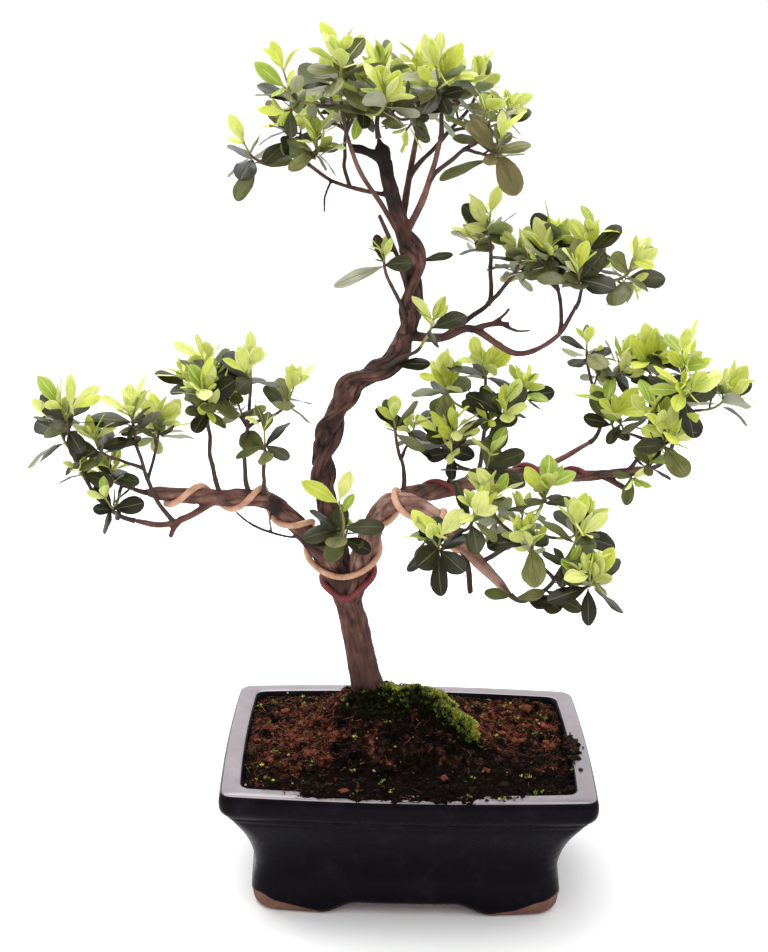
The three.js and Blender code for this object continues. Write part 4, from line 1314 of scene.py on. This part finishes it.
def drawn_tight(points, away):
    """A wire's route, eased along its length and kept off the wood."""
    for _ in range(WIRE_ROUNDS):
        points[1:-1] = (2 * points[1:-1] + points[:-2] + points[2:]) / 4
        off = points[:, None] - LIMB_PLACES[None]
        gap = np.linalg.norm(off, axis=2) - LIMB_RADII[None]
        near = gap.argmin(axis=1)
        rows = np.arange(len(points))
        push = np.clip(away - gap[rows, near], 0, None)
        points = points + unit(off[rows, near]) * push[:, None]
    return points


def make_wires():
    looks = {colour: surface("wire_wrap_" + colour, stops, 190, (0.55, 0.75), 0.3, 3)
             for colour, stops in WIRE_LOOKS.items()}
    for name, (radius, runs) in WIRES.items():
        points = []
        for limb, start, end, turn0, turn1 in runs:
            steps = max(2, int(abs(turn1 - turn0) / WIRE_TURN))
            for i in range(steps + 1):
                u = mix(start, end, i / steps)
                away = limb_radius(limb, u) + WIRE_SEAT * radius
                points.append(beside(limb, u, math.radians(mix(turn0, turn1, i / steps)), away))
        path = catmull(points)
        path = Path(drawn_tight(Path(path.points, int(path.length / 1.6)).points, WIRE_SEAT * radius))
        path = Path(path.points, int(path.length / 1.2))
        soup = Soup()
        thick = radius * THICK_WIRE.get(name, 1) * (1 + 0.06 * hash_noise(path.points * 0.35, 83))
        soup.tube(path.points, thick, WIRE_SIDES)
        colour = "tan" if name == "wire_tan" else "red"
        wire = soup.piece(name + "_turns", "wire_" + colour, [looks[colour]])
        sharpen(wire, 60)
        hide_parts(name)


# Leaves: rows along and columns across, base colours, and the shares in which they are dealt out
LEAF_ROWS = np.array([0, 0.05, 0.125, 0.25, 0.4, 0.55, 0.7, 0.825, 0.925, 0.975, 1.0])
LEAF_COLUMNS = np.array([-1, -0.52, -0.055, 0.055, 0.52, 1])
RIB_STRIP = 2
MIDLINE_STEPS = 40
STALK = 0.05
STALK_WIDTH = 0.45
TONES = {
    "leaf_dark": (0.0165, 0.0165, 0.0065),
    "leaf_deep": (0.039, 0.04, 0.0135),
    "leaf_mid": (0.1, 0.112, 0.032),
    "leaf_olive": (0.15, 0.155, 0.045),
    "leaf_bronze": (0.135, 0.113, 0.041),
    # Grey-green top of long old leaves: partly their own paleness, partly painted sheen
    "leaf_grey": (0.34, 0.35, 0.24),
    "leaf_fresh": (0.27, 0.36, 0.045),
    "leaf_lime": (0.49, 0.54, 0.06),
    "leaf_pale": (0.62, 0.65, 0.2),
    "under_old": (0.29, 0.3, 0.19),
    "under_mid": (0.21, 0.215, 0.12),
    "under_young": (0.54, 0.58, 0.16),
    "rib_old": (0.075, 0.09, 0.032),
    "rib_young": (0.56, 0.6, 0.2),
}
TONE_INDEX = {name: k for k, name in enumerate(TONES)}
OLD_TONES = ["leaf_dark", "leaf_deep", "leaf_mid", "leaf_olive", "leaf_bronze"]
DEALT = {
    "long": (["leaf_grey", "leaf_mid", "leaf_deep"], [0.5, 0.25, 0.25]),
    "old": (OLD_TONES[:-1], [0.32, 0.3, 0.23, 0.15]),
    "bronzed": (OLD_TONES, [0.17, 0.22, 0.23, 0.24, 0.14]),
    "young": (["leaf_mid", "leaf_fresh", "leaf_lime", "leaf_pale"], [0.04, 0.2, 0.46, 0.3]),
    "bud": (["leaf_fresh", "leaf_lime", "leaf_pale"], [0.15, 0.45, 0.4]),
}
OLDER = ("long", "old", "bronzed")
SAME_TONE = 0.5
UNDERSIDES = (["under_old", "under_mid"], [0.65, 0.35])
# Marks on old leaves, whose lightest greyish ones are painted sheen, and on the others, as shares of the base
# colour, and the light let through
OLD_MARKS_AND_SHEEN = ((0.62, 0.6, 0.6), (1, 1, 1), (1.5, 1.45, 1.6))
YOUNG_MARKS = ((0.66, 0.76, 0.6), (1, 1, 1), (1.12, 1.1, 1.4))
MARK_PLACES = (0.3, 0.5, 0.7)
GLOW = dict(Subsurface_Weight=0.25, Subsurface_Radius=(0.8, 1.0, 0.3), Subsurface_Scale=0.003)
TWIG_LOOKS = {
    "twig_bark": ((0.052, 0.031, 0.027), 0.45, 220, (0.75, 0.95), 0.6),
    "twig_red": ((0.11, 0.042, 0.032), 0.35, 220, (0.6, 0.8), 0.4),
    "twig_green": ((0.24, 0.25, 0.06), 0.3, 220, (0.5, 0.7), 0.3),
}
TWIG_BARK, TWIG_RED, TWIG_GREEN = range(3)
TWIG_SIDES = 8
SPRIG_SIDES = 6
GREEN_END = 14
# Stems turn up to their tips; side shoots part from them and end lower; radii at base and end
STEM_UPTURN = 0.6
STEM_PULL = 0.35
STEM_RADII = (1.35, 0.8)
SIDE_START = (0.45, 0.65)
SIDE_DROP = (0.2, 0.7)
SIDE_PULL = 0.4
SIDE_RADII = (0.95, 0.7)
# A leaf that stands alone: way it faces, bend, fold and twist
LONE_FACING = np.array([0.0, -0.7, 1.0])
LONE_SHAPE = (0.3, 0.2, 0.1)
# Growth: how leaves vary in a rosette, and where a leaf is tested against the limbs
TURN_VARIES = 0.6
ROLL_VARIES = 1.5
TWIST_VARIES = 0.3
WIDTH_VARIES = (0.84, 1.16)
TESTED_PLACES = np.array([[0.45], [0.75], [1.0]])
# This year's shoots: tilt in degrees and reach of the first and of the others
UPRIGHT = 0.35
FIRST_TILT = (2, 14)
SIDE_TILT = (20, 46)
FIRST_REACH = (5, 12)
SIDE_REACH = (3, 9)
# Spurs: least length of a shoot with one, place on it, reach
SPURRED_LENGTH = 20
SPUR_PLACE = (0.5, 0.72)
SPUR_REACH = (7, 13)


def leaf_width(u, young):
    """Half width along the leaf, after a short stalk: old leaves are blunt, young ones pointed."""
    blade = np.clip((u - STALK) / (1 - STALK), 0, 1)
    rise = mix(0.95, 1.0, young)
    fall = mix(0.58, 0.78, young)
    peak = rise / (rise + fall)
    return blade**rise * (1 - blade) ** fall / (peak**rise * (1 - peak) ** fall)


class Leaves:
    """Leaves of one region, gathered as rows of numbers and made into one mesh."""

    def __init__(self):
        self.rows = []

    def add(self, root, direction, side, face, *numbers):
        """The numbers: length, width, bend, fold, twist, wave, young, looks of top, underside and rib."""
        self.rows.append(np.concatenate([root, direction, side, face, numbers]))

    def piece(self, name, materials):
        rows = np.array(self.rows)
        n = len(rows)
        root, direction, side, face = (rows[:, None, 3 * k:3 * k + 3] for k in range(4))
        length, width, bend, fold, twist, wave, young = (rows[:, 12 + k][:, None] for k in range(7))
        tone, under, rib = (rows[:, 19 + k].astype(int) for k in range(3))
        u = LEAF_ROWS[None]
        v = LEAF_COLUMNS
        # Midline: the leaf bends along its length
        fine = np.linspace(0, 1, MIDLINE_STEPS + 1)
        angle = bend * fine**1.4
        step = np.concatenate([np.zeros((n, 1)), np.diff(fine)[None] * length], axis=1)
        ahead = np.cumsum(np.cos(angle) * step, axis=1)
        down = np.cumsum(np.sin(angle) * step, axis=1)
        pick = np.round(LEAF_ROWS * MIDLINE_STEPS).astype(int)
        ahead, down, angle = (values[:, pick, None] for values in (ahead, down, angle))
        middle = root + direction * ahead - face * down
        normal = face * np.cos(angle) + direction * np.sin(angle)
        roll = (twist * u)[..., None]
        across = side * np.cos(roll) + normal * np.sin(roll)
        normal = normal * np.cos(roll) - side * np.sin(roll)
        half = np.maximum(width / 2 * leaf_width(u, young), np.where(u < 0.5, STALK_WIDTH, 0.05))[..., None]
        lift = np.abs(v) * np.tan(fold)[..., None] - 0.25 * v**2
        ripple = 0.08 * np.sin(2 * math.pi * (1.7 * u + wave))[..., None] * v**2
        height = half * (lift + ripple)
        normal = normal[:, :, None]
        top = middle[:, :, None] + across[:, :, None] * (half * v)[..., None] + normal * height[..., None]
        m = len(LEAF_ROWS) * len(v)
        thin = LEAF_THICKNESS * np.outer(np.minimum(1, np.sin(LEAF_ROWS * math.pi) * 3), 1 - np.abs(v) ** 4)
        low = top - normal * thin[None, ..., None]
        verts = np.concatenate([top.reshape(n, m, 3), low.reshape(n, m, 3)], axis=1)
        # Two triangles a cell, cut the same way above and below
        grid = grid_faces(len(LEAF_ROWS), len(v), False)
        grid = np.vstack([grid[:, [0, 1, 2]], grid[:, [0, 2, 3]]])
        strip = np.tile(np.arange(len(v) - 1), 2 * (len(LEAF_ROWS) - 1))
        # Both faces share the leaf's margin
        index = np.arange(2 * m)
        r, c = np.divmod(np.arange(m), len(v))
        rim = (r == 0) | (r == len(LEAF_ROWS) - 1) | (c == 0) | (c == len(v) - 1)
        index[m:][rim] = np.arange(m)[rim]
        used = np.unique(index)
        order = np.zeros(2 * m, int)
        order[used] = np.arange(len(used))
        faces = order[index[np.vstack([grid[:, ::-1], grid + m])]]
        every = faces[None] + (np.arange(n) * len(used))[:, None, None]
        tags = np.where((strip == RIB_STRIP)[None], rib[:, None], tone[:, None])
        tags = np.concatenate([tags, np.repeat(under[:, None], len(grid), axis=1)], axis=1)
        faces = [(every.reshape(-1, 3), tags.ravel())]
        obj = piece(name, verts[:, used].reshape(-1, 3), faces, materials)
        # Place along and across each leaf, and a number of its own, for its markings
        marks = np.stack(np.broadcast_arrays(LEAF_ROWS[r], np.abs(v)[c], 40 * wave), axis=-1)
        mark(obj, "leaf", "FLOAT_VECTOR", "vector", np.concatenate([marks, marks], axis=1)[:, used])
        sharpen(obj, 75)
        return obj


def shoots_of(mass, seed):
    """A stem from the limb to the leading tip, and side shoots from the stem."""
    limb, place, tip, count, bearing, spread = mass
    draw = repeatable(seed)
    curve = CURVES[limb]
    tangent = curve.heading(place)
    start = curve.at(place)
    tip = np.array(tip, float)
    reach = np.linalg.norm(tip - start)
    heading = unit(tip - start)
    axis = unit(mix(heading, UP, STEM_UPTURN))
    leave = tangent if place == 1 else unit(heading + 0.4 * tangent)
    stem = bezier(start, start + leave * reach * STEM_PULL, tip - axis * reach * STEM_PULL, tip)
    base = min(STEM_RADII[0], 0.85 * limb_radius(limb, place))
    shoots = [(stem, tip, axis, base, STEM_RADII[1])]
    sides = square_to(axis, RIGHT)
    for k in range(1, count):
        out = around(sides, math.radians(bearing) + (k - 1) * GOLDEN_ANGLE)
        drop = spread * mix(*SIDE_DROP, draw())
        end = tip + out * spread - axis * drop
        start = stem.at(mix(*SIDE_START, draw()))
        lean = unit(axis + 0.5 * out)
        step = np.linalg.norm(end - start) * SIDE_PULL
        shoot = bezier(start, start + unit(end - start) * step, end - lean * step, end)
        shoots.append((shoot, end, lean, *SIDE_RADII))
    return shoots


def clear_of_limbs(points):
    away = np.linalg.norm(points[:, None] - LIMB_PLACES[None], axis=2) - LIMB_RADII[None]
    return away.min() > LEAF_ROOM


def rosette(leaves, end, axis, seed, kinds, size):
    """Leaves round the end of a shoot by the golden angle, the lowest first."""
    draw = repeatable(seed)
    rng = np.random.default_rng(seed)
    start = draw() * 2 * math.pi
    sides = square_to(axis, RIGHT)
    counts = [int(rng.integers(kind["count"][0], kind["count"][1] + 1)) for kind in kinds]
    k = 0
    for kind, count in zip(kinds, counts):
        names, shares = DEALT[kind["tone"]]
        spray_tone = rng.choice(names, p=shares)
        young = kind["tone"] not in OLDER
        for _ in range(count):
            turn = start + k * GOLDEN_ANGLE + (draw() - 0.5) * TURN_VARIES
            rise = math.radians(mix(*kind["rise"], draw()))
            length = size * mix(*kind["length"], draw())
            roll = (draw() - 0.5) * ROLL_VARIES
            direction = around(sides, turn) * math.cos(rise) + axis * math.sin(rise)
            side = unit(np.cross(axis, direction))
            side = side * math.cos(roll) + np.cross(direction, side) * math.sin(roll)
            root = end - axis * LEAF_PITCH * (sum(counts) - 1 - k)
            k += 1
            width = length * kind["aspect"] * rng.uniform(*WIDTH_VARIES)
            bend = math.radians(rng.uniform(*kind["bend"]))
            fold = math.radians(rng.uniform(*kind["fold"]))
            tone = spray_tone if rng.random() < SAME_TONE else rng.choice(names, p=shares)
            under = "under_young" if young else rng.choice(UNDERSIDES[0], p=UNDERSIDES[1])
            rib = "rib_young" if young else "rib_old"
            if clear_of_limbs(root + direction * length * TESTED_PLACES):
                twist, wave = rng.normal(0, TWIST_VARIES), rng.random()
                leaves.add(root, direction, side, np.cross(direction, side), length, width, bend, fold, twist,
                           wave, float(young), *(TONE_INDEX[t] for t in (tone, under, rib)))


def lone_leaf(leaves, root, tip, width, tone):
    young = tone in DEALT["bud"][0]
    root = np.array(root, float)
    run = np.array(tip, float) - root
    length = np.linalg.norm(run)
    direction = run / length
    face, _ = square_to(direction, LONE_FACING)
    names = (tone, "under_young", "rib_young") if young else (tone, "under_old", "rib_old")
    leaves.add(root, direction, np.cross(face, direction), face, length, width, *LONE_SHAPE,
               root[2] % 1 + 0.4, float(young), *(TONE_INDEX[t] for t in names))


def leaf_look(name, colour):
    old = name in OLD_TONES or name == "leaf_grey"
    glow = {} if old or "old" in name else GLOW
    gloss, shine, marks = ((0.3, 0.45), 0.22, OLD_MARKS_AND_SHEEN) if old else ((0.5, 0.65), 0.4, YOUNG_MARKS)
    stops = [(place, tuple(min(1, c * t) for c, t in zip(colour, tone)))
             for place, tone in zip(MARK_PLACES, marks)]
    return surface(name, stops, 2.2, gloss, 0.2, 3, attribute="leaf", Specular_IOR_Level=shine, **glow)


def make_foliage():
    leaf_looks = [leaf_look(name, colour) for name, colour in TONES.items()]
    twig_looks = [tinted(name, *look) for name, look in TWIG_LOOKS.items()]
    for region, starts in REGIONS.items():
        leaves = Leaves()
        twigs = Soup()
        nodes = []
        for k, (name, mass) in enumerate(MASSES.items()):
            if name.startswith(starts):
                nodes.append("foliage_" + name)
                grow_mass(leaves, twigs, k, name, mass, bronzed=region == "top")
        for place, *lone in LONE_LEAVES:
            if place == region:
                lone_leaf(leaves, *lone)
        shown = leaves.piece("leaves_" + region, leaf_looks)
        twigs.piece("twigs_" + region, "bark", twig_looks)
        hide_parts(*nodes)


def grow_mass(leaves, twigs, k, name, mass, bronzed):
    """One mass: shoots with old leaves at their ends, this year's growth and a few spurs."""
    rng = np.random.default_rng(1000 + k)
    size = SIZES.get(name, 1)
    kinds = OLD_LEAVES if name in HANGING else OLD_LEAVES[1:]
    fewer = SPARSE.get(name) or FRESH.get(name)
    if fewer:
        kinds = kinds[:-1] + [dict(kinds[-1], count=fewer[0])]
    if bronzed:
        kinds = kinds[:-1] + [dict(kinds[-1], tone="bronzed")]
    for s, (curve, end, axis, r0, r1) in enumerate(shoots_of(mass, k + 1)):
        grow_shoot(twigs, rng, curve, r0, r1)
        axis = unit(mix(axis, UP, UPRIGHT))
        rosette(leaves, end, unit(axis + LIGHT), 100 * (k + 1) + s, kinds, size)
        if name == "fork":
            points = catmull(FORK_SHOOT).at(np.linspace(0, 1, 9))
            twigs.tube(points, np.linspace(0.9, 0.6, 9), TWIG_SIDES, TWIG_GREEN)
        else:
            count = fewer[1] if fewer else rng.integers(1, 4)
            new_growth(leaves, twigs, rng, end, axis, count, 9000 + 50 * k + 10 * s, size)
        if curve.length > SPURRED_LENGTH and name not in SPARSE and rng.random() < SPUR_SHARE:
            grow_spur(leaves, twigs, rng, curve, 5000 + 10 * k + s)


def grow_shoot(twigs, rng, curve, r0, r1):
    """A shoot's wood: bark, then a red or green end."""
    u = np.linspace(0, 1, max(10, int(curve.length / 2)))
    points = curve.at(u)
    sway = np.column_stack([hash_noise(points * 0.12, seed) for seed in (72, 73, 74)])
    points = points + sway * (np.sin(u * math.pi) * 1.1)[:, None]
    radius = mix(r0, r1, u) * (1 + 0.3 * np.exp(-u * curve.length / 3))
    radius = radius * (1 + 0.12 * hash_noise(points * 0.5, 71))
    split = int(len(u) * max(0.3, 1 - GREEN_END / curve.length))
    twigs.tube(points[:split + 1], radius[:split + 1], TWIG_SIDES, TWIG_BARK)
    look = int(rng.choice([TWIG_RED, TWIG_GREEN], p=[0.45, 0.55]))
    twigs.tube(points[split:], radius[split:], TWIG_SIDES, look)


def new_growth(leaves, twigs, rng, end, axis, count, seed, size):
    """This year's shoots: the first goes on upward, the others part from it near the old shoot's end."""
    sides = square_to(axis, RIGHT)
    turn = rng.uniform(0, 2 * math.pi)
    for i in range(count):
        tilt = math.radians(rng.uniform(*(SIDE_TILT if i else FIRST_TILT)))
        lean = axis * math.cos(tilt) + around(sides, turn + i * GOLDEN_ANGLE) * math.sin(tilt)
        reach = size * rng.uniform(*(SIDE_REACH if i else FIRST_REACH))
        points = end + lean * np.linspace(-1, reach, 4)[:, None]
        twigs.tube(points, np.linspace(0.65, 0.42, 4), SPRIG_SIDES, TWIG_GREEN)
        rosette(leaves, end + lean * reach, lean, seed + i, NEW_LEAVES, size)


def grow_spur(leaves, twigs, rng, curve, seed):
    """A short side twig with a small tuft."""
    at = rng.uniform(*SPUR_PLACE)
    start = curve.at(at)
    heading = curve.heading(at)
    out = around(square_to(heading, RIGHT), rng.uniform(0, 2 * math.pi))
    lean = unit(out + 0.6 * heading + 0.6 * UP)
    end = start + lean * rng.uniform(*SPUR_REACH)
    spur = bezier(start, start + out * 3, end - lean * 3, end)
    if clear_of_limbs(spur.at(np.array([0.6, 1.0]))):
        t = np.linspace(0, 1, 7)
        twigs.tube(spur.at(t), mix(0.65, 0.5, t), SPRIG_SIDES, TWIG_RED)
        rosette(leaves, end, lean, seed, TUFT_LEAVES, 1)


make_camera()
make_studio()
make_pot()
edge = make_soil()
make_crumbs(edge)
make_moss(edge)
make_wood()
make_wires()
make_foliage()
